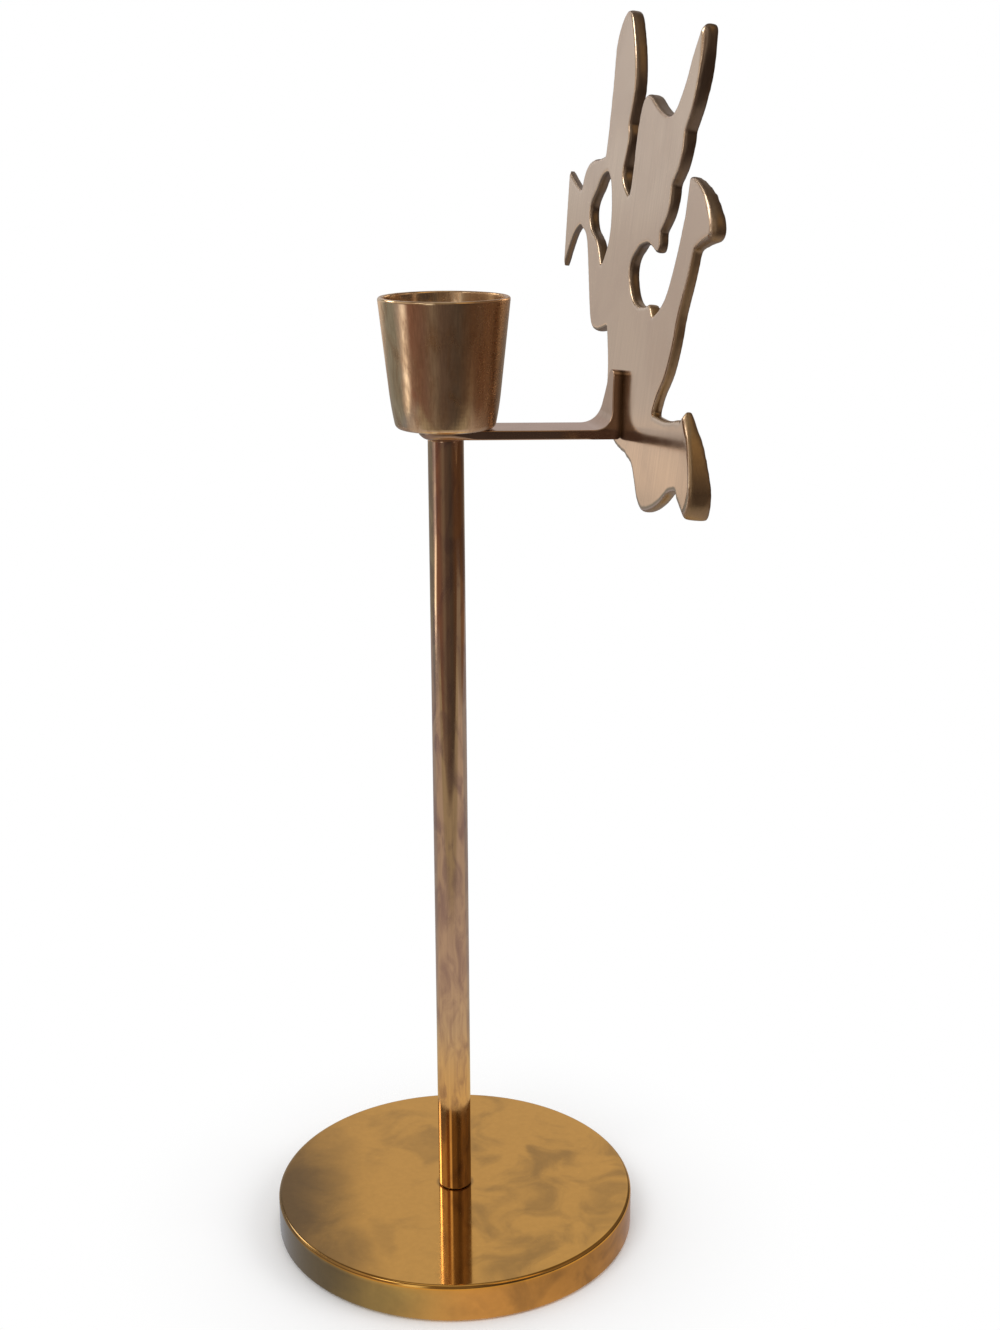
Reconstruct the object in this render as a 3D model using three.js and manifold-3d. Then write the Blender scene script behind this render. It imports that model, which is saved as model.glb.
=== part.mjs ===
// Angel candlestick: a round brass foot, a plain stem and a conical candle cup, with a flat cast angel
// that a strip arm carries beside the cup. The arm is clamped between the stem and the cup, and swings
// round the stem. Millimetres, +Z up. The origin is the middle of the underside, and +X runs along the
// arm towards the figure.
import * as THREE from 'three';
import { mergeVertices } from 'three/addons/utils/BufferGeometryUtils.js';
import Module from 'manifold-3d';

const wasm = await Module();
wasm.setup();

// Foot
const BASE_DIAMETER = 87;
const BASE_HEIGHT = 9.5;
const BASE_EDGE_RADIUS = 1.2;
const BASE_FOOT_CHAMFER = 0.5;
const FELT_THICKNESS = 1.2;
const FELT_STANDS_PROUD = 0.4;
const FELT_MARGIN = 3.5;

// Stem and the fasteners that hold it to the foot
const STEM_DIAMETER = 8;
const STEM_LENGTH = 185.7;
const STEM_EDGE_CHAMFER = 0.3;
const LOWER_SPIGOT_DIAMETER = 6;
const UPPER_SPIGOT_DIAMETER = 5;
const SPIGOT_PAST_NUT = 0.3;
const SPIGOT_BELOW_CUP_FLOOR = 0.5;
const NUT_ACROSS_FLATS = 10;
const NUT_THICKNESS = 2.8;
const WASHER_DIAMETER = 14;
const WASHER_THICKNESS = 1;

// Candle cup
const CUP_HEIGHT = 28.4;
const CUP_FOOT_DIAMETER = 22.8;
const CUP_RIM_DIAMETER = 29.1;
const CUP_WALL = 1.1;
const CUP_FLOOR = 5;
const CUP_FOOT_RADIUS = 1.2;
const SOCKET_FILLET = 1.5;

// Arm, with the tongue that its far end turns up into
const ARM_WIDTH = 12;
const ARM_THICKNESS = 2.1;
const ARM_SAG = THREE.MathUtils.degToRad(1.9);
const ARM_FLAT_PAST_STEM = 1.5;
const FIGURE_REACH = 38.2;
const TONGUE_HEIGHT = 14.7;
const TONGUE_TIP_RADIUS = 2.8;
const TONGUE_LEAN = THREE.MathUtils.degToRad(7);
const BEND_FILLET = 6.2;

// Angel: from the trumpet's bell to the lower foot, and the thickness of its body
const FIGURE_SPAN = 120.7;
const FIGURE_THICKNESS = 2.6;

// Clearances
const SEAT_GAP = 0.1;
const THREAD_GAP = 0.1;
const FELT_SIDE_GAP = 0.3;
const FELT_TO_SPIGOT = 0.5;
const WELL_SPANNER_ROOM = 2.5;
const SOLDER_FILM = 0.3;

// Facets round each turned piece, and steps along each curve
const BASE_FACETS = 96;
const CUP_FACETS = 64;
const STEM_FACETS = 32;
const NUT_SIDES = 6;
const EDGE_STEPS = 3;
const STRIP_STEPS = 6;
const OUTLINE_STEPS = 3;

// Heights, from the table up
const spigotEnd = FELT_THICKNESS + FELT_TO_SPIGOT;
const nutUnder = spigotEnd + SPIGOT_PAST_NUT;
const washerUnder = nutUnder + NUT_THICKNESS + SEAT_GAP;
const wellRoof = washerUnder + WASHER_THICKNESS + SEAT_GAP;
const stemFoot = BASE_HEIGHT + SEAT_GAP;
const stemTop = stemFoot + STEM_LENGTH;
const armUnder = stemTop + SEAT_GAP;
const armTop = armUnder + ARM_THICKNESS;
const cupUnder = armTop + SEAT_GAP;
const cupFloor = cupUnder + CUP_FLOOR;
const cupRim = cupUnder + CUP_HEIGHT;
const spigotTop = cupFloor - SPIGOT_BELOW_CUP_FLOOR;

// The arm lies flat over the stem, and sags from just beside it
const sagStart = STEM_DIAMETER / 2 + ARM_FLAT_PAST_STEM;
const sagSlope = Math.tan(ARM_SAG);
const figureFoot = armUnder - (FIGURE_REACH - sagStart) * sagSlope;

// The angel, drawn on its flat back: each number pair is a place along the plate, towards the feet, and
// up the plate, from where the arm's underside meets it. A run is a smooth stretch, and runs meet in
// corners. A limb's thickness is given at the two ends of the axis that it changes along, as a share of
// the body's, and runs straight between them. Each limb reaches well into its neighbours, so that
// together they are one casting.
const ALONG = 0;
const UP = 1;
const FIGURE_LIMBS = [
  {
    name: 'trumpet',
    thickness: [0.7, 0.7],
    axis: UP,
    runs: [
      [[-46, 52.8], [-52.5, 52.4], [-58.5, 54], [-65.4, 56.4]],
      [[-65.4, 56.4], [-60.2, 33.2]],
      [[-60.2, 33.2], [-57, 38.2], [-53, 42.4], [-46, 45]],
    ],
  },
  {
    name: 'head, arm and body',
    thickness: [1, 1],
    axis: UP,
    runs: [
      [[-51.7, 50], [-51.2, 55], [-48.5, 58.2], [-43.5, 59.5], [-38.5, 59.8], [-30, 61.4]],
      [[-30, 61.4], [-20, 57]],
      [[-20, 57], [-9, 47]],
      [[-9, 47], [4, 45]],
      [[4, 45], [1, 41.6], [-2.6, 39.2], [-3.6, 36.6], [-2.2, 33.8], [1, 30.8], [5, 29.4], [10, 29.5],
        [14.2, 30.1], [18.6, 26]],
      [[18.6, 26], [24, 20]],
      [[24, 20], [20, 2]],
      [[20, 2], [14, -0.4], [9.6, -2.3], [1, -1.3], [-4.5, 1.8], [-8.8, 7.5], [-11.5, 15], [-16, 22.8]],
      [[-16, 22.8], [-20.5, 21.6], [-25.5, 21], [-30, 22.6], [-34.8, 29.6], [-40.5, 39], [-44, 42.4],
        [-48, 43.6], [-50.8, 46], [-51.7, 50]],
    ],
    opening: [
      [[-30.8, 57], [-35, 55.8], [-38.2, 52.6], [-41.2, 50], [-41.8, 47.4], [-39, 43.8], [-32, 40.8],
        [-26.8, 35.8]],
      [[-26.8, 35.8], [-23.8, 40], [-23, 43.8], [-24.2, 49], [-27.2, 54.4], [-30.8, 57]],
    ],
  },
  {
    name: 'front wing',
    thickness: [1.15, 1.15],
    axis: UP,
    runs: [
      [[-32, 57], [-34.2, 60.4], [-34.5, 66], [-35.4, 76.5], [-36.6, 84.6], [-35.2, 89], [-31.6, 92.4],
        [-27.2, 92], [-23.4, 88.2], [-19.2, 82], [-17, 75.5], [-18.3, 67.6]],
      [[-18.3, 67.6], [-16.9, 65.2], [-17.2, 62], [-18.6, 58]],
      [[-18.6, 58], [-17.5, 55.8], [-14.6, 53.6], [-7, 50]],
      [[-7, 50], [-12, 44]],
      [[-12, 44], [-21, 55.5]],
    ],
  },
  {
    name: 'rear wing',
    thickness: [0.8, 1.42],
    axis: UP,
    runs: [
      [[-12.4, 46], [-11.2, 52], [-10.9, 58], [-11.2, 64], [-10.7, 70], [-8.8, 73.4], [-4.2, 73.6],
        [1.5, 71.4], [6.8, 69.9], [11.2, 69.4], [14.8, 71.4], [18.6, 76.6], [21.2, 83.4], [23.2, 86.9],
        [25.5, 87.2], [26.6, 83], [26.3, 76.5], [25.2, 71.3], [22.3, 66.3]],
      [[22.3, 66.3], [22.7, 62.6], [21.4, 58.6], [18.4, 55.4]],
      [[18.4, 55.4], [19, 51.6], [17.6, 48.2], [14.6, 45.5]],
      [[14.6, 45.5], [15.6, 43.2], [14.9, 41.5], [13, 41.4], [9.5, 42.4], [5, 42.6], [-6, 40]],
    ],
  },
  {
    name: 'raised leg',
    thickness: [0.96, 0.86],
    axis: UP,
    runs: [
      [[13, 25], [17.4, 28.2], [20.6, 30], [24.4, 33.8], [27.6, 42], [29.2, 49]],
      [[29.2, 49], [38, 46]],
      [[38, 46], [37.5, 41], [36.2, 36], [34, 29.5], [33.2, 23.5], [31, 17.2], [27, 12], [24.6, 6]],
      [[24.6, 6], [18, 4]],
    ],
  },
  {
    name: 'raised foot',
    thickness: [0.5, 1.54],
    axis: ALONG,
    runs: [
      [[29.4, 46.4], [29.5, 51], [29.2, 57.3]],
      [[29.2, 57.3], [33.8, 57], [39.8, 54.6], [45, 51], [47.1, 47.9], [46.4, 45.6], [43, 44.8],
        [37.6, 43.4]],
      [[37.6, 43.4], [29.4, 46.4]],
    ],
  },
  {
    name: 'lower leg',
    thickness: [0.92, 0.92],
    axis: UP,
    runs: [
      [[5, 0.5], [10.2, -2.6], [15.2, -3.8], [18.9, -6.8], [22.7, -10.4], [27, -11.9], [32.5, -10.7],
        [38, -8.2], [42.5, -5.2], [46.4, -4], [51, 0]],
      [[51, 0], [46.5, 10.2]],
      [[46.5, 10.2], [42, 9.7], [38, 8.8], [32, 8.2], [22, 8.4]],
      [[22, 8.4], [10, 4]],
    ],
  },
  {
    name: 'lower foot',
    thickness: [2.4, 0.95],
    axis: UP,
    runs: [
      [[53.4, -9.1], [55.3, -5.4], [54.6, -0.8], [51.6, 5], [47.6, 9.8], [45.4, 12.4]],
      [[45.4, 12.4], [43.2, 10], [42, 5], [43, -1], [46.6, -4.3], [50.2, -7.2], [53.4, -9.1]],
    ],
  },
];

// The drawing is brought to the figure's own span
const drawnAlong = FIGURE_LIMBS.flatMap(({ runs }) => runs.flat()).map(([along]) => along);
const drawingScale = FIGURE_SPAN / (Math.max(...drawnAlong) - Math.min(...drawnAlong));

/**
 * A brass, steel or felt finish.
 * @param {number} color sRGB colour
 * @param {number} roughness
 * @param {number} metalness
 */
function finish(color, roughness, metalness) {
  return new THREE.MeshStandardMaterial({ color, roughness, metalness });
}

/** Signed volume of an indexed geometry: positive when its faces point out. */
function signedVolume(position, index) {
  const a = new THREE.Vector3();
  const b = new THREE.Vector3();
  const c = new THREE.Vector3();
  let sum = 0;
  for (let i = 0; i < index.length; i += 3) {
    a.fromBufferAttribute(position, index[i]);
    b.fromBufferAttribute(position, index[i + 1]);
    c.fromBufferAttribute(position, index[i + 2]);
    sum += a.dot(b.cross(c)) / 6;
  }
  return sum;
}

/** A closed geometry with shared corners merged, slivers of no area dropped and its faces turned out. */
function closed(geometry) {
  geometry.deleteAttribute('normal');
  geometry.deleteAttribute('uv');
  const merged = mergeVertices(geometry);
  const index = [];
  for (let i = 0; i < merged.index.count; i += 3) {
    const [a, b, c] = [merged.index.getX(i), merged.index.getX(i + 1), merged.index.getX(i + 2)];
    if (a !== b && b !== c && c !== a) {
      index.push(a, b, c);
    }
  }
  if (signedVolume(merged.getAttribute('position'), index) < 0) {
    index.reverse();
  }
  merged.setIndex(index);
  return merged;
}

/** The solid of a closed geometry, for joining and cutting. */
function solid(geometry) {
  const body = closed(geometry);
  const mesh = new wasm.Mesh({
    numProp: 3,
    vertProperties: new Float32Array(body.getAttribute('position').array),
    triVerts: new Uint32Array(body.index.array),
  });
  return new wasm.Manifold(mesh);
}

/** The geometry of a joined or cut solid. */
function geometryOf(manifold) {
  const mesh = manifold.getMesh();
  const geometry = new THREE.BufferGeometry();
  geometry.setAttribute('position', new THREE.BufferAttribute(mesh.vertProperties, 3));
  geometry.setIndex(new THREE.BufferAttribute(mesh.triVerts, 1));
  return geometry;
}

/** A turned piece: a profile of radius and height spun about the Z axis. */
function turned(profile, facets) {
  const points = profile.map(([radius, height]) => new THREE.Vector2(radius, height));
  const geometry = new THREE.LatheGeometry(points, facets);
  geometry.rotateX(Math.PI / 2);
  return closed(geometry);
}

/** A plain ring or disc profile that closes on itself. */
function ringProfile(inner, outer, low, high) {
  return [[inner, low], [outer, low], [outer, high], [inner, high], [inner, low]];
}

/** Radius and height pairs along a drawn path. */
function pathPairs(path) {
  return path.getPoints(EDGE_STEPS).map((point) => [point.x, point.y]);
}

/** An upright round bar about the Z axis, as a cutter. */
function bar(radius, low, high, facets) {
  const geometry = new THREE.CylinderGeometry(radius, radius, high - low, facets);
  geometry.rotateX(Math.PI / 2);
  geometry.translate(0, 0, (low + high) / 2);
  return solid(geometry);
}

/** A prism: a flat shape whose own axes are laid along two given directions, grown along a third. */
function prism(shape, depth, along, up, grow) {
  const options = { depth, bevelEnabled: false, curveSegments: STRIP_STEPS };
  const geometry = new THREE.ExtrudeGeometry(shape, options);
  geometry.applyMatrix4(new THREE.Matrix4().makeBasis(along, up, grow));
  return geometry;
}

/** Brass foot: rounded top edge, a recess for the felt and a well for the nut. */
function baseDisc() {
  const radius = BASE_DIAMETER / 2;
  const underside = FELT_STANDS_PROUD;
  const feltRoof = FELT_THICKNESS + SEAT_GAP;
  const recess = radius - FELT_MARGIN;
  const well = WASHER_DIAMETER / 2 + WELL_SPANNER_ROOM;
  const hole = LOWER_SPIGOT_DIAMETER / 2 + THREAD_GAP;
  const shoulder = BASE_HEIGHT - BASE_EDGE_RADIUS;
  const profile = new THREE.Path();
  profile.moveTo(hole, wellRoof);
  profile.lineTo(well, wellRoof);
  profile.lineTo(well, feltRoof);
  profile.lineTo(recess, feltRoof);
  profile.lineTo(recess, underside);
  profile.lineTo(radius - BASE_FOOT_CHAMFER, underside);
  profile.lineTo(radius, underside + BASE_FOOT_CHAMFER);
  profile.lineTo(radius, shoulder);
  profile.absarc(radius - BASE_EDGE_RADIUS, shoulder, BASE_EDGE_RADIUS, 0, Math.PI / 2);
  profile.lineTo(hole, BASE_HEIGHT);
  profile.lineTo(hole, wellRoof);
  return turned(pathPairs(profile), BASE_FACETS);
}

/** Felt pad let into the underside. */
function baseFelt() {
  const radius = BASE_DIAMETER / 2 - FELT_MARGIN - FELT_SIDE_GAP;
  return turned([[0, 0], [radius, 0], [radius, FELT_THICKNESS], [0, FELT_THICKNESS]], BASE_FACETS);
}

/** Plain washer between the nut and the foot. */
function baseWasher() {
  const hole = LOWER_SPIGOT_DIAMETER / 2 + THREAD_GAP;
  const top = washerUnder + WASHER_THICKNESS;
  return turned(ringProfile(hole, WASHER_DIAMETER / 2, washerUnder, top), STEM_FACETS);
}

/** Hexagon nut on the stem's lower spigot. */
function baseNut() {
  const top = nutUnder + NUT_THICKNESS;
  const corner = NUT_ACROSS_FLATS / 2 / Math.cos(Math.PI / NUT_SIDES);
  const hexagon = bar(corner, nutUnder, top, NUT_SIDES);
  const hole = bar(LOWER_SPIGOT_DIAMETER / 2 + THREAD_GAP, spigotEnd, washerUnder, STEM_FACETS);
  return geometryOf(hexagon.subtract(hole));
}

/** Plain rod with a threaded spigot turned on each end. */
function stem() {
  const radius = STEM_DIAMETER / 2;
  const lower = LOWER_SPIGOT_DIAMETER / 2;
  const upper = UPPER_SPIGOT_DIAMETER / 2;
  const profile = [
    [0, spigotEnd],
    [lower, spigotEnd],
    [lower, stemFoot],
    [radius - STEM_EDGE_CHAMFER, stemFoot],
    [radius, stemFoot + STEM_EDGE_CHAMFER],
    [radius, stemTop - STEM_EDGE_CHAMFER],
    [radius - STEM_EDGE_CHAMFER, stemTop],
    [upper, stemTop],
    [upper, spigotTop],
    [0, spigotTop],
  ];
  return turned(profile, STEM_FACETS);
}

/** Conical candle cup with a thin round lip and a threaded floor. */
function candleCup() {
  const foot = CUP_FOOT_DIAMETER / 2;
  const rim = CUP_RIM_DIAMETER / 2;
  const slope = (rim - foot) / CUP_HEIGHT;
  const lip = CUP_WALL / 2;
  const hole = UPPER_SPIGOT_DIAMETER / 2 + THREAD_GAP;
  const outerAt = (height) => foot + (height - cupUnder) * slope;
  const innerAt = (height) => outerAt(height) - CUP_WALL;
  const profile = new THREE.Path();
  profile.moveTo(hole, cupUnder);
  profile.lineTo(foot - CUP_FOOT_RADIUS, cupUnder);
  profile.quadraticCurveTo(foot, cupUnder, outerAt(cupUnder + CUP_FOOT_RADIUS), cupUnder + CUP_FOOT_RADIUS);
  profile.lineTo(outerAt(cupRim - lip), cupRim - lip);
  profile.absarc(outerAt(cupRim - lip) - lip, cupRim - lip, lip, 0, Math.PI);
  profile.lineTo(innerAt(cupFloor + SOCKET_FILLET), cupFloor + SOCKET_FILLET);
  profile.quadraticCurveTo(innerAt(cupFloor), cupFloor, innerAt(cupFloor) - SOCKET_FILLET, cupFloor);
  profile.lineTo(hole, cupFloor);
  profile.lineTo(hole, cupUnder);
  return turned(pathPairs(profile), CUP_FACETS);
}

/** Side view of the arm: flat over the stem, sagging beside it, then turned up into the leaning tongue. */
function armSideView() {
  const up = new THREE.Vector2(Math.sin(TONGUE_LEAN), Math.cos(TONGUE_LEAN));
  const out = new THREE.Vector2(up.y, -up.x);
  const underAt = (x) => armUnder - (x - sagStart) * sagSlope;
  const crossing = (start, height) => {
    const run = (height(start.x) - start.y) / (up.y + up.x * sagSlope);
    return start.clone().addScaledVector(up, run);
  };
  const outerFace = new THREE.Vector2(FIGURE_REACH, figureFoot).addScaledVector(out, -SOLDER_FILM);
  const innerFace = outerFace.clone().addScaledVector(out, -ARM_THICKNESS);
  const heel = crossing(outerFace, underAt);
  const throat = crossing(innerFace, (x) => underAt(x) + ARM_THICKNESS);
  const outerTip = heel.clone().addScaledVector(up, TONGUE_HEIGHT);
  const innerTip = outerTip.clone().addScaledVector(out, -ARM_THICKNESS);
  const filletUp = throat.clone().addScaledVector(up, BEND_FILLET);
  const filletIn = throat.x - BEND_FILLET;
  const view = new THREE.Shape();
  view.moveTo(-ARM_WIDTH / 2, armUnder);
  view.lineTo(sagStart, armUnder);
  view.lineTo(heel.x, heel.y);
  view.lineTo(outerTip.x, outerTip.y);
  view.lineTo(innerTip.x, innerTip.y);
  view.lineTo(filletUp.x, filletUp.y);
  view.quadraticCurveTo(throat.x, throat.y, filletIn, underAt(filletIn) + ARM_THICKNESS);
  view.lineTo(sagStart, armTop);
  view.lineTo(-ARM_WIDTH / 2, armTop);
  return { view, tip: innerTip.y, throat: throat.y };
}

/** Strip arm: round at the stem, with a hole for the spigot, and a tapered tongue at the figure. */
function swivelArm() {
  const { view, tip, throat } = armSideView();
  const half = ARM_WIDTH / 2;
  const reach = FIGURE_REACH + TONGUE_HEIGHT;
  const low = figureFoot - ARM_WIDTH;
  const along = new THREE.Vector3(1, 0, 0);
  const across = new THREE.Vector3(0, 1, 0);
  const upward = new THREE.Vector3(0, 0, 1);

  const side = prism(view, ARM_WIDTH, along, upward, across.clone().negate());
  side.translate(0, half, 0);

  const planView = new THREE.Shape();
  planView.moveTo(0, -half);
  planView.lineTo(reach, -half);
  planView.lineTo(reach, half);
  planView.lineTo(0, half);
  planView.absarc(0, 0, half, Math.PI / 2, Math.PI * 1.5);
  const plan = prism(planView, tip - low + ARM_WIDTH, along, across, upward);
  plan.translate(0, 0, low);

  const endView = new THREE.Shape();
  endView.moveTo(-half, low);
  endView.lineTo(half, low);
  endView.lineTo(half, throat);
  endView.lineTo(TONGUE_TIP_RADIUS, tip - TONGUE_TIP_RADIUS);
  endView.absarc(0, tip - TONGUE_TIP_RADIUS, TONGUE_TIP_RADIUS, 0, Math.PI);
  endView.lineTo(-half, throat);
  const end = prism(endView, reach + ARM_WIDTH, across, upward, along);
  end.translate(-ARM_WIDTH, 0, 0);

  const eye = bar(UPPER_SPIGOT_DIAMETER / 2 + THREAD_GAP, stemTop, cupUnder, STEM_FACETS);
  return geometryOf(solid(side).intersect(solid(plan)).intersect(solid(end)).subtract(eye));
}

/** A flat outline of the angel: smooth runs through their points, joined at corners. */
function drawRuns(path, runs) {
  const place = ([along, up]) => new THREE.Vector2(along, up).multiplyScalar(drawingScale);
  const start = place(runs[0][0]);
  path.moveTo(start.x, start.y);
  for (const run of runs) {
    const places = run.slice(1).map(place);
    if (places.length === 1) {
      path.lineTo(places[0].x, places[0].y);
    } else {
      path.splineThru(places);
    }
  }
  return path;
}

/** A plate under zero height, whose thickness runs straight from the first to the last end of an axis. */
function plate(shape, first, last, axis) {
  const options = { depth: first, bevelEnabled: false, curveSegments: OUTLINE_STEPS };
  const geometry = new THREE.ExtrudeGeometry(shape, options);
  geometry.translate(0, 0, -first);
  geometry.computeBoundingBox();
  const { min, max } = geometry.boundingBox;
  const [start, end] = [min.getComponent(axis), max.getComponent(axis)];
  const position = geometry.getAttribute('position');
  for (let i = 0; i < position.count; i += 1) {
    if (position.getZ(i) < -first / 2) {
      const share = (position.getComponent(i, axis) - start) / (end - start);
      position.setZ(i, -THREE.MathUtils.lerp(first, last, share));
    }
  }
  return geometry;
}

/** Cast angel: limbs of their own thickness behind one flat back, which lies at zero height. */
function angelFigure() {
  const limbs = FIGURE_LIMBS.map(({ thickness, axis, runs, opening }) => {
    const shape = drawRuns(new THREE.Shape(), runs);
    if (opening) {
      shape.holes.push(drawRuns(new THREE.Path(), opening));
    }
    const [first, last] = thickness.map((share) => share * FIGURE_THICKNESS);
    return solid(plate(shape, first, last, axis));
  });
  return geometryOf(limbs.reduce((whole, limb) => whole.add(limb)));
}

/** Where the figure stands: back against the tongue, feet towards -Y, leaning outward with the tongue. */
function figureGroup() {
  const towardsFeet = new THREE.Vector3(0, -1, 0);
  const upPlate = new THREE.Vector3(Math.sin(TONGUE_LEAN), 0, Math.cos(TONGUE_LEAN));
  const outOfBack = new THREE.Vector3().crossVectors(towardsFeet, upPlate);
  const group = new THREE.Group();
  group.setRotationFromMatrix(new THREE.Matrix4().makeBasis(towardsFeet, upPlate, outOfBack));
  group.position.set(FIGURE_REACH, 0, figureFoot);
  return group;
}

/** A named piece of the candlestick. */
function piece(name, geometry, material) {
  const mesh = new THREE.Mesh(geometry, material);
  mesh.name = name;
  return mesh;
}

const candlestick = new THREE.Group();
candlestick.add(
  piece('base_disc', baseDisc(), finish(0xb98a45, 0.2, 1)),
  piece('base_felt', baseFelt(), finish(0x2f3f33, 0.95, 0)),
  piece('base_washer', baseWasher(), finish(0xa9a49a, 0.4, 1)),
  piece('base_nut', baseNut(), finish(0x9c978d, 0.4, 1)),
  piece('stem', stem(), finish(0xa88558, 0.18, 1)),
  piece('swivel_arm', swivelArm(), finish(0xb39a80, 0.3, 1)),
  piece('candle_cup', candleCup(), finish(0xa07f45, 0.18, 1)),
);

const figure = figureGroup();
figure.add(piece('angel_figure', angelFigure(), finish(0xb5a08c, 0.35, 1)));
candlestick.add(figure);

export default candlestick;
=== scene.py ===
"""Angel candlestick in Blender: fine meshes and brass finishes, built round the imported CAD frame.

Metres, +Z up, in the CAD model's own frame: the origin is the middle of the underside, and +X runs along
the arm towards the angel. Each sub-assembly is a class that builds its meshes and dresses them.
"""

import logging
import math
from dataclasses import dataclass
from enum import Enum
from typing import Any, Callable, Sequence

import bmesh
import bpy
import numpy as np
from mathutils import Matrix, Vector


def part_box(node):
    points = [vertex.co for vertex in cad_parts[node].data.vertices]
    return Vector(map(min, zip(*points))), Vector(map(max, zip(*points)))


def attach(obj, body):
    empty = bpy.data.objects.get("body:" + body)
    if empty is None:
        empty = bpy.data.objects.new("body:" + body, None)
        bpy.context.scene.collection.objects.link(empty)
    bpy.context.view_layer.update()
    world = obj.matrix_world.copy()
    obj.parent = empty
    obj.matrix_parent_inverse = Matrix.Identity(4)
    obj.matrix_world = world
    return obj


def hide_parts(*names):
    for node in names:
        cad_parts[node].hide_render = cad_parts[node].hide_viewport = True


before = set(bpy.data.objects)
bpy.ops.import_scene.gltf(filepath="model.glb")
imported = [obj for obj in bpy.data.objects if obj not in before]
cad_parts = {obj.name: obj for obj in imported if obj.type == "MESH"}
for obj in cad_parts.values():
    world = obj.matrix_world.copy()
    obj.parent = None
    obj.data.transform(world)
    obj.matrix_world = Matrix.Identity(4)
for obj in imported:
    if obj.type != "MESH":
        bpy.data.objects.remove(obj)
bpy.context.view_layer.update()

LOG = logging.getLogger("candlestick")
MM = 0.001
# How close to a corner a straight stretch's extra points lie, and the shortest stretch that gets them
BRACE = 0.15 * MM
BRACED_LENGTH = 4 * BRACE
# Angles in degrees from which an edge stays sharp
CREASE = 35.0
FASTENER_CREASE = 25.0

Colour = tuple[float, float, float]
Triple = tuple[float, float, float]
Pair = tuple[float, float]
Stops = Sequence[tuple[float, Colour]]
Socket = bpy.types.NodeSocket
Piece = bpy.types.Object

BLACK: Colour = (0.0, 0.0, 0.0)
WHITE: Colour = (1.0, 1.0, 1.0)
NO_TURN: Triple = (0.0, 0.0, 0.0)


class Body(Enum):
    """The bodies that the pieces ride on."""

    STAND = "stand"
    ARM = "arm"
    CUP = "cup"


class Ends(Enum):
    """What becomes of a loft's first and last ring."""

    JOINED = "joined to each other"
    CAPPED = "closed by a face each"
    POINTED = "a point each"


class Grain(Enum):
    """Which way a finish's fine lines run: how many of them go to a metre along X, Y and Z."""

    POLISHED = (700.0, 700.0, 700.0)
    UPRIGHT = (2600.0, 2600.0, 22.0)
    LENGTHWISE = (40.0, 2400.0, 2400.0)


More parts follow.
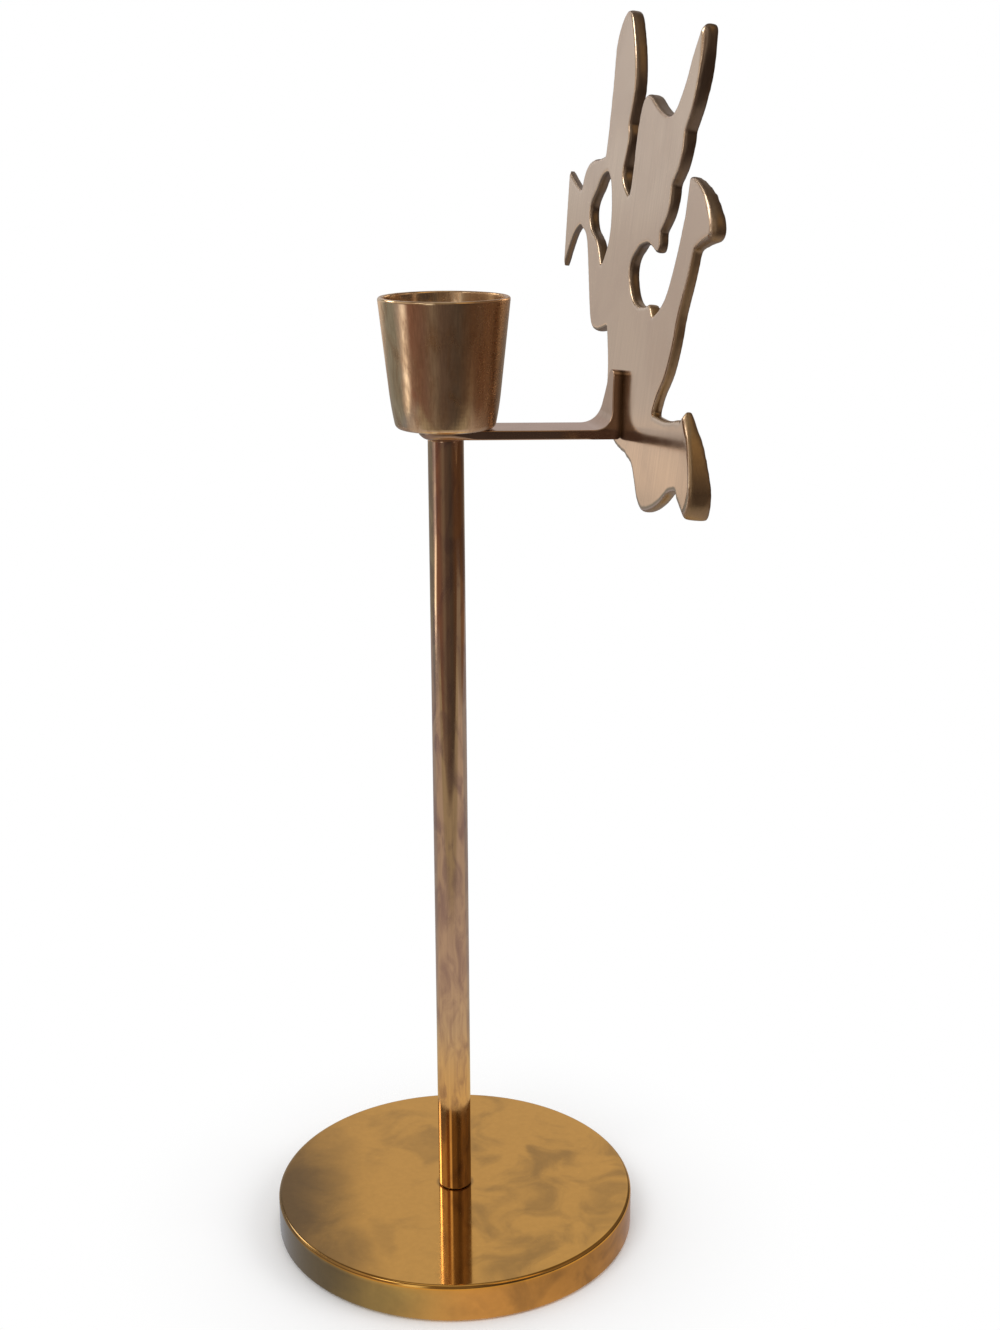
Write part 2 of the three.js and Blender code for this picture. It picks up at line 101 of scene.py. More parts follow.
class Shader:
    """Writes the node tree of one material or world, a step at a time."""

    def __init__(self, tree: bpy.types.NodeTree) -> None:
        """Empties the tree that is to be written."""
        self.tree = tree
        tree.nodes.clear()

    @classmethod
    def of_material(cls, name: str) -> tuple["Shader", bpy.types.Material]:
        """Starts a new material.

        Args:
            name: the finish's name.

        Returns:
            The writer of its nodes, and the material.
        """
        material = bpy.data.materials.new(name)
        material.use_nodes = True
        return cls(material.node_tree), material

    def node(self, kind: str, inputs: dict[Any, Any] | None = None, **settings: Any) -> bpy.types.Node:
        """Adds a node.

        Args:
            kind: Blender's name for this kind of node.
            inputs: what its sockets take, by name or number: a plain value or another socket.
            settings: the node's own properties.

        Returns:
            The new node.
        """
        made = self.tree.nodes.new(kind)
        for name, value in settings.items():
            setattr(made, name, value)
        for key, value in (inputs or {}).items():
            if isinstance(value, Socket):
                self.tree.links.new(value, made.inputs[key])
            else:
                made.inputs[key].default_value = value
        return made

    def place(self) -> Socket:
        """Where a point lies on its object, in metres."""
        return self.node("ShaderNodeTexCoord").outputs["Object"]

    def axes(self, vector: Socket) -> Sequence[Socket]:
        """The X, Y and Z of a place."""
        return self.node("ShaderNodeSeparateXYZ", {0: vector}).outputs

    def along(self, vector: Socket, way: Triple) -> Socket:
        """How far a vector reaches along a direction."""
        made = self.node("ShaderNodeVectorMath", {0: vector, 1: way}, operation="DOT_PRODUCT")
        return made.outputs["Value"]

    def stretched(self, vector: Socket, scale: Triple, turn: Triple = NO_TURN) -> Socket:
        """A place that is turned about its axes and then stretched along them."""
        turned_place = self.node("ShaderNodeMapping", {"Vector": vector, "Rotation": turn}).outputs[0]
        return self.node("ShaderNodeMapping", {"Vector": turned_place, "Scale": scale}).outputs[0]

    def noise(self, vector: Socket, scale: float, detail: float = 3.0, warp: float = 0.0) -> Socket:
        """Soft noise from 0 to 1, by its blotches to a metre, its finer layers and how far it is bent."""
        inputs = {"Vector": vector, "Scale": scale, "Detail": detail, "Distortion": warp}
        return self.node("ShaderNodeTexNoise", inputs).outputs[0]

    def span(self, value: Socket, source: Pair, target: Pair = (0.0, 1.0)) -> Socket:
        """Eases a value from one range into another, which it then stays inside."""
        inputs = {"Value": value, "From Min": source[0], "From Max": source[1],
                  "To Min": target[0], "To Max": target[1]}
        return self.node("ShaderNodeMapRange", inputs, interpolation_type="SMOOTHSTEP").outputs[0]

    def sum(self, operation: str, first: Any, second: Any = 0.0) -> Socket:
        """Works out a sum of sockets or numbers, by Blender's name for the operation."""
        return self.node("ShaderNodeMath", {0: first, 1: second}, operation=operation).outputs[0]

    def distance(self, x: Socket, y: Socket) -> Socket:
        """How far a place is from an axis, by its two coordinates across that axis."""
        squares = self.sum("ADD", self.sum("MULTIPLY", x, x), self.sum("MULTIPLY", y, y))
        return self.sum("SQRT", squares)

    def mix(self, share: Any, first: Any, second: Any, way: str = "MIX") -> Socket:
        """Mixes two colours.

        Args:
            share: how much of the second is taken.
            first: a colour or a socket.
            second: a colour or a socket.
            way: Blender's name for the way they are mixed.

        Returns:
            The mixed colour.
        """
        colours = [c if isinstance(c, Socket) else (*c, 1.0) for c in (first, second)]
        inputs = {0: share, 6: colours[0], 7: colours[1]}
        return self.node("ShaderNodeMix", inputs, data_type="RGBA", blend_type=way).outputs[2]

    def ramp(self, value: Socket, stops: Stops) -> Socket:
        """Reads a colour off a scale.

        Args:
            value: the place on the scale.
            stops: places from 0 to 1, each with its colour.

        Returns:
            The colour.
        """
        made = self.node("ShaderNodeValToRGB", {0: value})
        elements = made.color_ramp.elements
        elements.remove(elements[-1])
        elements[0].position = stops[0][0]
        elements[0].color = (*stops[0][1], 1.0)
        for place, colour in stops[1:]:
            elements.new(place).color = (*colour, 1.0)
        return made.outputs[0]

    def bump(self, height: Socket, depth: float) -> Socket:
        """The normal of a surface that is raised by up to a depth."""
        inputs = {"Strength": 1.0, "Distance": depth, "Height": height}
        return self.node("ShaderNodeBump", inputs).outputs[0]

    def seen_plainly(self) -> Socket:
        """Finds the rays that are to see a plain background.

        Returns:
            One for rays from the camera and for rays that metal or glass passes on, else nothing.
        """
        path = self.node("ShaderNodeLightPath").outputs
        mirrored = self.sum("MAXIMUM", path["Is Glossy Ray"], path["Is Transmission Ray"])
        return self.sum("MAXIMUM", path["Is Camera Ray"], mirrored)

    def light(self, kind: str, colour: Any = (*WHITE, 1.0), strength: float = 1.0) -> Socket:
        """A surface or background that shines."""
        return self.node(kind, {"Color": colour, "Strength": strength}).outputs[0]

    def either(self, share: Socket, first: Socket, second: Socket) -> Socket:
        """Two shaders, mixed by how much of the second is taken."""
        return self.node("ShaderNodeMixShader", {0: share, 1: first, 2: second}).outputs[0]

    def surface(self, shader: Socket, target: str = "ShaderNodeOutputMaterial") -> None:
        """Joins the last shader to the output."""
        self.node(target, {"Surface": shader})

    def principled(self, inputs: dict[str, Any]) -> None:
        """Ends a material in one solid surface."""
        self.surface(self.node("ShaderNodeBsdfPrincipled", inputs).outputs[0])


@dataclass(frozen=True)
class Brass:
    """Aged brass: soft tarnish in blotches, finger smudges, and fine lines along its grain."""

    name: str
    tint: Colour
    tarnish: Colour
    # Roughness where the metal is clean and where it is worn
    gloss: Pair
    grain: Grain
    grain_depth: float
    # Blotches to a metre, the noise that counts as tarnish, and how the blotches are squeezed
    blotches: float = 45.0
    stain: Pair = (0.45, 0.8)
    drawn: Triple = (1.0, 1.0, 1.0)
    # How much the fine lines darken and brighten the metal, and how they lean
    streak: float = 0.1
    streak_from: Pair = (0.25, 0.75)
    lean: float = 0.0
    smudge_fineness: float = 5.0
    dull_from_wear: Pair = (0.3, 1.5)

    def wear(self, shader: Shader, place: Socket) -> Socket:
        """Where the tarnish lies, from 0 to 1."""
        cloud = shader.noise(shader.stretched(place, self.drawn), self.blotches, detail=5.0, warp=0.8)
        return shader.span(cloud, self.stain)

    def colour(self, shader: Shader, worn: Socket) -> Socket:
        """The metal's colour under its tarnish, before its fine lines."""
        return shader.mix(worn, self.tint, self.tarnish)

    def roughness(self, shader: Shader, worn: Socket, smudge: Socket) -> Socket:
        """How rough the metal is: more so where it is worn or smudged."""
        return shader.span(shader.sum("ADD", worn, smudge), self.dull_from_wear, self.gloss)

    def material(self) -> bpy.types.Material:
        """Makes the material: colour, roughness and a fine bump, all from the piece's own coordinates.

        Returns:
            The material.
        """
        shader, material = Shader.of_material(self.name)
        place = shader.place()
        worn = self.wear(shader, place)
        grain = shader.stretched(place, self.grain.value, (0.0, self.lean, 0.0))
        lines = shader.noise(grain, 1.0, detail=4.0)
        smudge = shader.noise(place, self.blotches * self.smudge_fineness, detail=4.0, warp=1.2)
        shade = shader.span(lines, self.streak_from, (1.0 - self.streak, 1.0 + self.streak))
        grey = shader.node("ShaderNodeCombineColor", {0: shade, 1: shade, 2: shade}).outputs[0]
        shader.principled({
            "Base Color": shader.mix(1.0, self.colour(shader, worn), grey, "MULTIPLY"),
            "Roughness": self.roughness(shader, worn, smudge),
            "Normal": shader.bump(lines, self.grain_depth),
            "Metallic": 1.0})
        return material


@dataclass(frozen=True)
class SidedBrass(Brass):
    """Aged brass with one browner side, which is partly tarnish and partly painted shade."""

    # The browner side is partly tarnish and partly painted shade, which dims the reflection on that side
    shade_and_tarnish_side: Triple = (0.976, -0.219, 0.0)
    dull_from: Pair = (2 * MM, 9 * MM)
    dull: float = 0.9

    def wear(self, shader: Shader, place: Socket) -> Socket:
        """Where the tarnish lies, from 0 to 1: in blotches, and on the brown side, which is partly painted
        shade.
        """
        side = shader.span(shader.along(place, self.shade_and_tarnish_side), self.dull_from, (0.0, self.dull))
        return shader.sum("MAXIMUM", super().wear(shader, place), side)


@dataclass(frozen=True)
class FootBrass(SidedBrass):
    """Brass of the foot: brown smudges, a duller side that is painted shade, and a dark ring round the
    stem.
    """

    # The duller side is painted shade, in place of the dark reflection on the foot's left
    shade_and_tarnish_side: Triple = (-0.999, 0.046, 0.0)
    dull_from: Pair = (17.5 * MM, 43 * MM)
    dull: float = 1.0
    smudge: float = 0.5
    clear_share: float = 0.4
    clear_from: Pair = (30 * MM, -20 * MM)
    uneven: float = 20 * MM
    uneven_blotches: float = 60.0
    # Where the painted shade reaches further in, on the foot's wall
    wall_from: Pair = (8.6 * MM, 7.6 * MM)
    wall_shift: float = 6 * MM
    # A dark ring on the foot round the stem
    ring: Pair = (4.05 * MM, 4.9 * MM)
    ring_darkness: float = 0.6

    def wear(self, shader: Shader, place: Socket) -> Socket:
        """Where the tarnish lies: in blotches, along the dull side, which is painted shade, and in a dark
        ring against the stem.

        Args:
            shader: the writer of the nodes.
            place: where a point lies on the foot.

        Returns:
            The tarnish and the painted shade, from 0 to 1.
        """
        towards = shader.along(place, self.shade_and_tarnish_side)
        handled = shader.span(towards, self.clear_from, (self.clear_share * self.smudge, self.smudge))
        blotches = shader.sum("MULTIPLY", Brass.wear(self, shader, place), handled)
        cloud = shader.noise(place, self.uneven_blotches, detail=4.0, warp=0.8)
        edge = shader.sum("ADD", towards, shader.sum("MULTIPLY", cloud, self.uneven))
        x, y, z = shader.axes(place)
        edge = shader.sum("ADD", edge, shader.span(z, self.wall_from, (0.0, self.wall_shift)))
        first, last = (start + self.uneven / 2 for start in self.dull_from)
        # Painted shade along the dull side
        side = shader.span(edge, (first, last), (0.0, self.dull))
        # The dark ring round the stem
        ring = shader.span(shader.distance(x, y), self.ring, (self.ring_darkness, 0.0))
        return shader.sum("MAXIMUM", shader.sum("MAXIMUM", blotches, side), ring)


@dataclass(frozen=True)
class JoinedBrass(Brass):
    """Brass of the arm: a dark seam is left where its tongue is soldered to the figure."""

    joint: Triple = (0.9925, 0.0, -0.1219)
    seam: Colour = (0.14, 0.09, 0.055)
    seam_from: Pair = (12.7 * MM, 14.1 * MM)

    def colour(self, shader: Shader, worn: Socket) -> Socket:
        """The metal's colour, dark along the seam."""
        seam = shader.span(shader.along(shader.place(), self.joint), self.seam_from)
        return shader.mix(seam, super().colour(shader, worn), self.seam)


@dataclass(frozen=True)
class CastBrass(Brass):
    """Brass of the figure: both flat faces are brushed bright, and the edges keep a brown skin, darkened
    further with painted shade.
    """

    face: Triple = (-0.9925, 0.0, 0.1219)
    # The edges' brown is partly a cast skin and partly painted shade for the dark reflections in them,
    # darker on the wings
    edge_skin_and_shade: Colour = (0.43, 0.32, 0.2)
    wing_edge_skin_and_shade: Colour = (0.25, 0.195, 0.15)
    wing_way: Triple = (0.0, 0.4, 1.0)
    wings_from: Pair = (217 * MM, 229 * MM)
    rim_from: Pair = (0.95, 0.76)
    rim_roughness: float = 0.36

    def edge(self, shader: Shader) -> Socket:
        """How far a place is on the edge: nothing on the flat faces, one across them."""
        facing = shader.along(shader.node("ShaderNodeTexCoord").outputs["Normal"], self.face)
        return shader.span(shader.sum("ABSOLUTE", facing), self.rim_from)

    def colour(self, shader: Shader, worn: Socket) -> Socket:
        """The metal's colour.

        Args:
            shader: the writer of the nodes.
            worn: the tarnish, from 0 to 1.

        Returns:
            The colour, with the brown of the edges, which is partly cast skin and partly painted shade, and
            darker on the wings.
        """
        winged = shader.span(shader.along(shader.place(), self.wing_way), self.wings_from)
        # The edges' brown: cast skin and painted shade, darker on the wings
        edge_skin_and_shade = shader.mix(winged, self.edge_skin_and_shade, self.wing_edge_skin_and_shade)
        return shader.mix(self.edge(shader), super().colour(shader, worn), edge_skin_and_shade)

    def roughness(self, shader: Shader, worn: Socket, smudge: Socket) -> Socket:
        """How rough the metal is: the edges are left as they were cast."""
        extra = shader.sum("MULTIPLY", self.edge(shader), self.rim_roughness - self.gloss[0])
        return shader.sum("ADD", super().roughness(shader, worn, smudge), extra)


@dataclass(frozen=True)
class Steel:
    """Plain satin steel of the hidden nut and washer."""

    name: str = "satin_steel"
    tint: Colour = (0.42, 0.41, 0.39)
    dull: Colour = (0.27, 0.25, 0.23)
    dull_from: Pair = (0.35, 0.7)
    gloss: Pair = (0.28, 0.5)
    gloss_from: Pair = (0.3, 0.7)
    clouds: float = 300.0
    scuffs: float = 1500.0

    def material(self) -> bpy.types.Material:
        """Makes the material.

        Returns:
            The material.
        """
        shader, material = Shader.of_material(self.name)
        place = shader.place()
        cloud = shader.span(shader.noise(place, self.clouds, detail=4.0), self.dull_from)
        shader.principled({
            "Base Color": shader.mix(cloud, self.tint, self.dull),
            "Roughness": shader.span(shader.noise(place, self.scuffs), self.gloss_from, self.gloss),
            "Metallic": 1.0})
        return material


@dataclass(frozen=True)
class Felt:
    """Dark green felt with loose fibres."""

    name: str = "green_felt"
    tint: Colour = (0.028, 0.052, 0.033)
    fibre: Colour = (0.06, 0.095, 0.065)
    fibres: float = 2600.0
    fibres_from: Pair = (0.35, 0.7)
    clouds: float = 90.0
    clouds_from: Pair = (0.2, 0.8)
    clouds_to: Pair = (0.5, 1.0)
    nap: float = 0.25 * MM
    roughness: float = 0.95
    sheen: float = 0.4

    def material(self) -> bpy.types.Material:
        """Makes the material.

        Returns:
            The material.
        """
        shader, material = Shader.of_material(self.name)
        place = shader.place()
        fibres = shader.noise(place, self.fibres, detail=6.0, warp=2.0)
        cloud = shader.span(shader.noise(place, self.clouds), self.clouds_from, self.clouds_to)
        share = shader.sum("MULTIPLY", shader.span(fibres, self.fibres_from), cloud)
        shader.principled({
            "Base Color": shader.mix(share, self.tint, self.fibre),
            "Roughness": self.roughness,
            "Normal": shader.bump(fibres, self.nap),
            "Sheen Weight": self.sheen})
        return material


FOOT_BRASS = FootBrass(
    "foot_brass", (0.78, 0.455, 0.122), (0.215, 0.145, 0.068), (0.06, 0.17), Grain.POLISHED, 0.0,
    blotches=75.0, stain=(0.45, 0.72), streak=0.03)
STEM_BRASS = Brass(
    "stem_brass", (0.75, 0.555, 0.37), (0.49, 0.345, 0.275), (0.07, 0.17), Grain.UPRIGHT, 0.0008 * MM,
    blotches=110.0, stain=(0.38, 0.72), drawn=(3.6, 3.6, 1.0), streak=0.06)
# The cup's browner side is partly tarnish and partly painted shade
CUP_BRASS = SidedBrass(
    "cup_brass", (0.8, 0.63, 0.43), (0.55, 0.365, 0.215), (0.13, 0.28), Grain.UPRIGHT, 0.001 * MM,
    blotches=110.0, stain=(0.4, 0.72), drawn=(2.4, 2.4, 1.0), streak=0.1)
ARM_BRASS = JoinedBrass(
    "arm_brass", (0.51, 0.37, 0.28), (0.4, 0.285, 0.21), (0.1, 0.22), Grain.LENGTHWISE, 0.002 * MM,
    blotches=80.0, streak=0.05)
FIGURE_BRASS = CastBrass(
    "figure_brass", (0.77, 0.625, 0.495), (0.69, 0.555, 0.45), (0.13, 0.24), Grain.UPRIGHT, 0.004 * MM,
    blotches=24.0, stain=(0.36, 0.66), streak=0.06, lean=math.radians(-7.0))
STEEL = Steel()
FELT = Felt()


def arc(centre: Pair, radius: float, start: float, stop: float, steps: int) -> list[Pair]:
    """Points along an arc in a profile, between two angles in degrees from straight outward."""
    angles = [math.radians(start + (stop - start) * i / steps) for i in range(steps + 1)]
    return [(centre[0] + radius * math.cos(a), centre[1] + radius * math.sin(a)) for a in angles]


def lower_round(radius: float, height: float, ease: float, steps: int) -> list[Pair]:
    """The lower outer corner of a profile, rounded."""
    return arc((radius - ease, height + ease), ease, -90, 0, steps)


def upper_round(radius: float, height: float, ease: float, steps: int) -> list[Pair]:
    """The upper outer corner of a profile, rounded."""
    return arc((radius - ease, height - ease), ease, 0, 90, steps)


def bent(start: Sequence[float], corner: Sequence[float], end: Sequence[float], share: float) -> Vector:
    """A place on the curve that rounds a corner, by its share of the way from start to end."""
    first = Vector(start).lerp(Vector(corner), share)
    return first.lerp(Vector(corner).lerp(Vector(end), share), share)


def braced(profile: Sequence[Pair]) -> list[Pair]:
    """Puts a point close to both ends of each straight stretch, so that its shading stays straight.

    Args:
        profile: radius and height pairs.

    Returns:
        The profile with those points in it.
    """
    points = [profile[0]]
    for (r0, z0), (r1, z1) in zip(profile, profile[1:]):
        length = math.hypot(r1 - r0, z1 - z0)
        if length > BRACED_LENGTH:
            for share in (BRACE / length, 1 - BRACE / length):
                points.append((r0 + (r1 - r0) * share, z0 + (z1 - z0) * share))
        points.append((r1, z1))
    return points


def lofted(rings: Sequence[Sequence[Sequence[float]]], ends: Ends) -> bpy.types.Mesh:
    """Lays a skin over rings of places.

    Args:
        rings: the rings, each with as many places as the next, or with one place where it is a point.
        ends: what becomes of the first and the last ring.

    Returns:
        The closed mesh, with its faces turned out.
    """
    mesh = bmesh.new()
    count = max(len(ring) for ring in rings)
    skin = []
    for ring in rings:
        verts = [mesh.verts.new(place) for place in ring]
        skin.append(verts * count if len(verts) == 1 else verts)
    following = skin[1:] + (skin[:1] if ends is Ends.JOINED else [])
    for low, high in zip(skin, following):
        for i in range(count):
            j = (i + 1) % count
            corners = dict.fromkeys((low[i], low[j], high[j], high[i]))
            if len(corners) > 2:
                mesh.faces.new(tuple(corners))
    if ends is Ends.CAPPED:
        mesh.faces.new(list(reversed(skin[0])))
        mesh.faces.new(skin[-1])
    bmesh.ops.recalc_face_normals(mesh, faces=mesh.faces)
    data = bpy.data.meshes.new("loft")
    mesh.to_mesh(data)
    mesh.free()
    return data


def turned(profile: Sequence[Pair], facets: int) -> bpy.types.Mesh:
    """A turned piece: a profile spun about the Z axis.

    Args:
        profile: radius and height pairs, which end on the axis or close on themselves.
        facets: how many facets go round.

    Returns:
        The closed mesh.
    """
    closes = profile[0] == profile[-1]
    angles = [2 * math.pi * i / facets for i in range(facets)]
    rings = []
    for radius, height in profile[:-1] if closes else profile:
        round_it = angles if radius > 0 else angles[:1]
        rings.append([(radius * math.cos(a), radius * math.sin(a), height) for a in round_it])
    return lofted(rings, Ends.JOINED if closes else Ends.POINTED)


def linked(name: str, data: Any) -> Piece:
    """Puts a new object into the scene.

    Args:
        name: its name.
        data: its mesh, lamp or lens.

    Returns:
        The object.
    """
    made = bpy.data.objects.new(name, data)
    bpy.context.scene.collection.objects.link(made)
    return made


def dressed(name: str, data: bpy.types.Mesh, node: str, body: Body,
            material: bpy.types.Material, crease: float = CREASE) -> Piece:
    """Puts a piece into the scene, on its body and in its finish, for the CAD node that it replaces.

    Args:
        name: the piece's name.
        data: its mesh.
        node: the CAD node.
        body: the body that it rides on.
        material: the finish.
        crease: the angle in degrees from which an edge stays sharp.

    Returns:
        The piece.
    """
    data.name = name
    data.shade_smooth()
    data.set_sharp_from_angle(angle=math.radians(crease))
    data.materials.clear()
    data.materials.append(material)
    piece = linked(name, data)
    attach(piece, body.value)
    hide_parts(node)
    return piece


def with_modifiers(mesh: bpy.types.Mesh, add: Callable[[Piece], None]) -> bpy.types.Mesh:
    """Runs a mesh through modifiers.

    Args:
        mesh: the mesh.
        add: puts the modifiers on an object that holds it.

    Returns:
        A new mesh, with the modifiers' result.
    """
    holder = linked("holder", mesh)
    add(holder)
    graph = bpy.context.evaluated_depsgraph_get()
    made = bpy.data.meshes.new_from_object(holder.evaluated_get(graph))
    bpy.data.objects.remove(holder)
    return made


@dataclass
class Foot:
    """Round brass foot, its felt pad, and the nut and washer that hold the stem to it."""

    edge_radius: float = 0.95 * MM
    edge_steps: int = 8
    foot_radius: float = 0.5 * MM
    foot_steps: int = 4
    felt_gap: float = 0.3 * MM
    seat_gap: float = 0.1 * MM
    spanner_room: float = 2.5 * MM
    bore: float = 3.1 * MM
    bore_chamfer: float = 0.2 * MM
    facets: int = 192
    felt_edge: float = 0.35 * MM
    felt_steps: int = 3
    felt_rings: int = 24
    felt_facets: int = 96
    felt_unevenness: float = 0.06 * MM
    felt_seed: int = 7
    nut_across: float = 10 * MM
    nut_face: float = 0.96
    nut_chamfer: float = 0.3
    nut_facets: int = 72
    washer_ease: float = 0.15 * MM
    washer_facets: int = 64

    def disc(self) -> Piece:
        """Turns the foot, with a rounded top edge, the felt's recess and the nut's well.

        Returns:
            The foot.
        """
        low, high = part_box("base_disc")
        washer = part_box("base_washer")[1]
        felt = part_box("base_felt")[1]
        recess = felt.x + self.felt_gap
        well = washer.x + self.spanner_room
        roof = washer.z + self.seat_gap
        felt_roof = felt.z + self.seat_gap
        profile = [(self.bore, roof), (well, roof), (well, felt_roof)]
        profile += [(recess, felt_roof), (recess, low.z)]
        profile += lower_round(high.x, low.z, self.foot_radius, self.foot_steps)
        profile += upper_round(high.x, high.z, self.edge_radius, self.edge_steps)
        profile += [(self.bore + self.bore_chamfer, high.z), (self.bore, high.z - self.bore_chamfer)]
        data = turned(braced(profile + profile[:1]), self.facets)
        return dressed("foot_disc", data, "base_disc", Body.STAND, FOOT_BRASS.material())

    def felt(self) -> Piece:
        """Cuts the felt pad, with a soft edge and a slightly uneven nap.

        Returns:
            The pad.
        """
        low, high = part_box("base_felt")
        radius = high.x
        flat = [(radius - self.felt_edge) * i / self.felt_rings for i in range(self.felt_rings)]
        profile = [(r, low.z) for r in flat]
        profile += lower_round(radius, low.z, self.felt_edge, self.felt_steps)
        profile += upper_round(radius, high.z, self.felt_edge, self.felt_steps)
        profile += [(r, high.z) for r in reversed(flat)]
        data = turned(profile, self.felt_facets)
        draws = np.random.default_rng(self.felt_seed)
        for vert in data.vertices:
            inward = math.copysign(1.0, (low.z + high.z) / 2 - vert.co.z)
            vert.co.z += inward * self.felt_unevenness * draws.random()
        piece = dressed("felt_pad", data, "base_felt", Body.STAND, FELT.material())
        return piece

    def nut(self) -> Piece:
        """Makes the hexagon nut, with chamfered corners on both faces.

        Returns:
            The nut.
        """
        low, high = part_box("base_nut")
        flat = self.nut_across / 2
        face = flat * self.nut_face
        side = math.pi / 3
        sections = []
        for i in range(self.nut_facets):
            angle = 2 * math.pi * i / self.nut_facets
            # The CAD nut's corners lie along Y, so the middle of a side lies along X
            corner = flat / math.cos((angle + side / 2) % side - side / 2)
            drop = (corner - face) * math.tan(self.nut_chamfer * math.pi / 2)
            section = [(self.bore, low.z), (face, low.z), (corner, low.z + drop),
                       (corner, high.z - drop), (face, high.z), (self.bore, high.z)]
            sections.append([(r * math.cos(angle), r * math.sin(angle), z) for r, z in section])
        data = lofted(sections, Ends.JOINED)
        return dressed("stem_nut", data, "base_nut", Body.STAND, STEEL.material(),
                       FASTENER_CREASE)

    def washer(self) -> Piece:
        """Turns the washer, with eased edges.

        Returns:
            The washer.
        """
        low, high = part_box("base_washer")
        ease = self.washer_ease
        profile = [(self.bore, low.z), (high.x - ease, low.z), (high.x, low.z + ease),
                   (high.x, high.z - ease), (high.x - ease, high.z), (self.bore, high.z)]
        data = turned(profile + profile[:1], self.washer_facets)
        return dressed("stem_washer", data, "base_washer", Body.STAND, STEEL.material(),
                       FASTENER_CREASE)

    def build(self) -> list[Piece]:
        """Builds the foot's pieces."""
        return [self.disc(), self.felt(), self.washer(), self.nut()]


@dataclass
class Stem:
    """Plain brass rod, with a threaded spigot turned on each end."""

    seat_gap: float = 0.1 * MM
    edge: float = 0.35 * MM
    edge_steps: int = 4
    upper_spigot: float = 2.5 * MM
    lower_spigot: float = 3.0 * MM
    arm_thickness: float = 2.1 * MM
    spigot_ease: float = 0.4 * MM
    facets: int = 96

    def build(self) -> list[Piece]:
        """Turns the rod.

        Returns:
            The rod alone.
        """
        low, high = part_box("stem")
        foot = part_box("base_disc")[1].z + self.seat_gap
        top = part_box("candle_cup")[0].z - 2 * self.seat_gap - self.arm_thickness
        profile = [(0, low.z), (self.lower_spigot - self.spigot_ease, low.z)]
        profile += [(self.lower_spigot, low.z + self.spigot_ease), (self.lower_spigot, foot)]
        profile += lower_round(high.x, foot, self.edge, self.edge_steps)
        profile += upper_round(high.x, top, self.edge, self.edge_steps)
        profile += [(self.upper_spigot, top), (self.upper_spigot, high.z - self.spigot_ease)]
        profile += [(self.upper_spigot - self.spigot_ease, high.z), (0, high.z)]
        data = turned(braced(profile), self.facets)
        return [dressed("stem_rod", data, "stem", Body.STAND, STEM_BRASS.material())]


@dataclass
class CandleCup:
    """Conical cup with a thin rolled lip and a round-cornered foot."""

    foot_diameter: float = 22.8 * MM
    wall: float = 1.1 * MM
    floor: float = 5 * MM
    foot_radius: float = 1.1 * MM
    belly: float = 8.0 * MM
    belly_inset: float = 0.46 * MM
    socket_fillet: float = 1.5 * MM
    hole: float = 2.6 * MM
    facets: int = 160
    curve_steps: int = 8
    lip_steps: int = 10

    def build(self) -> list[Piece]:
        """Turns the cup.

        Returns:
            The cup alone.
        """
        low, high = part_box("candle_cup")
        foot = self.foot_diameter / 2
        lip = self.wall / 2
        slope = (high.x - foot) / (high.z - low.z)
        shares = [i / self.curve_steps for i in range(self.curve_steps + 1)]

        def outer(height: float) -> float:
            """The outside's radius at a height: a plain cone that draws in a little above its foot."""
            curve = max(0.0, 1 - (height - low.z) / self.belly)
            return foot + (height - low.z) * slope - self.belly_inset * curve**2

        def inner(height: float) -> float:
            """The socket's radius at a height."""
            return outer(height) - self.wall

        def rounded(start: Pair, corner: Pair, end: Pair) -> list[Pair]:
            """The points of a rounded corner."""
            return [tuple(bent(start, corner, end, share)) for share in shares]

        floor = low.z + self.floor
        corner_end = low.z + self.foot_radius
        fillet_end = floor + self.socket_fillet
        heights = [corner_end + (low.z + self.belly - corner_end) * share for share in shares[1:]]
        profile = [(self.hole, low.z)]
        profile += rounded((outer(low.z) - self.foot_radius, low.z), (outer(low.z), low.z),
                           (outer(corner_end), corner_end))
        profile += [(outer(height), height) for height in heights]
        profile += arc((outer(high.z - lip) - lip, high.z - lip), lip, 0, 180, self.lip_steps)
        profile += rounded((inner(fillet_end), fillet_end), (inner(floor), floor),
                           (inner(floor) - self.socket_fillet, floor))
        profile += [(self.hole, floor), (self.hole, low.z)]
        data = turned(braced(profile), self.facets)
        return [dressed("cup", data, "candle_cup", Body.CUP, CUP_BRASS.material())]


@dataclass(frozen=True)
class Cut:
    """A cut across the strip: its under and upper place, half its widest width, and its edges' radii."""

    under: Vector
    upper: Vector
    half: float
    edge_under: float
    edge_upper: float


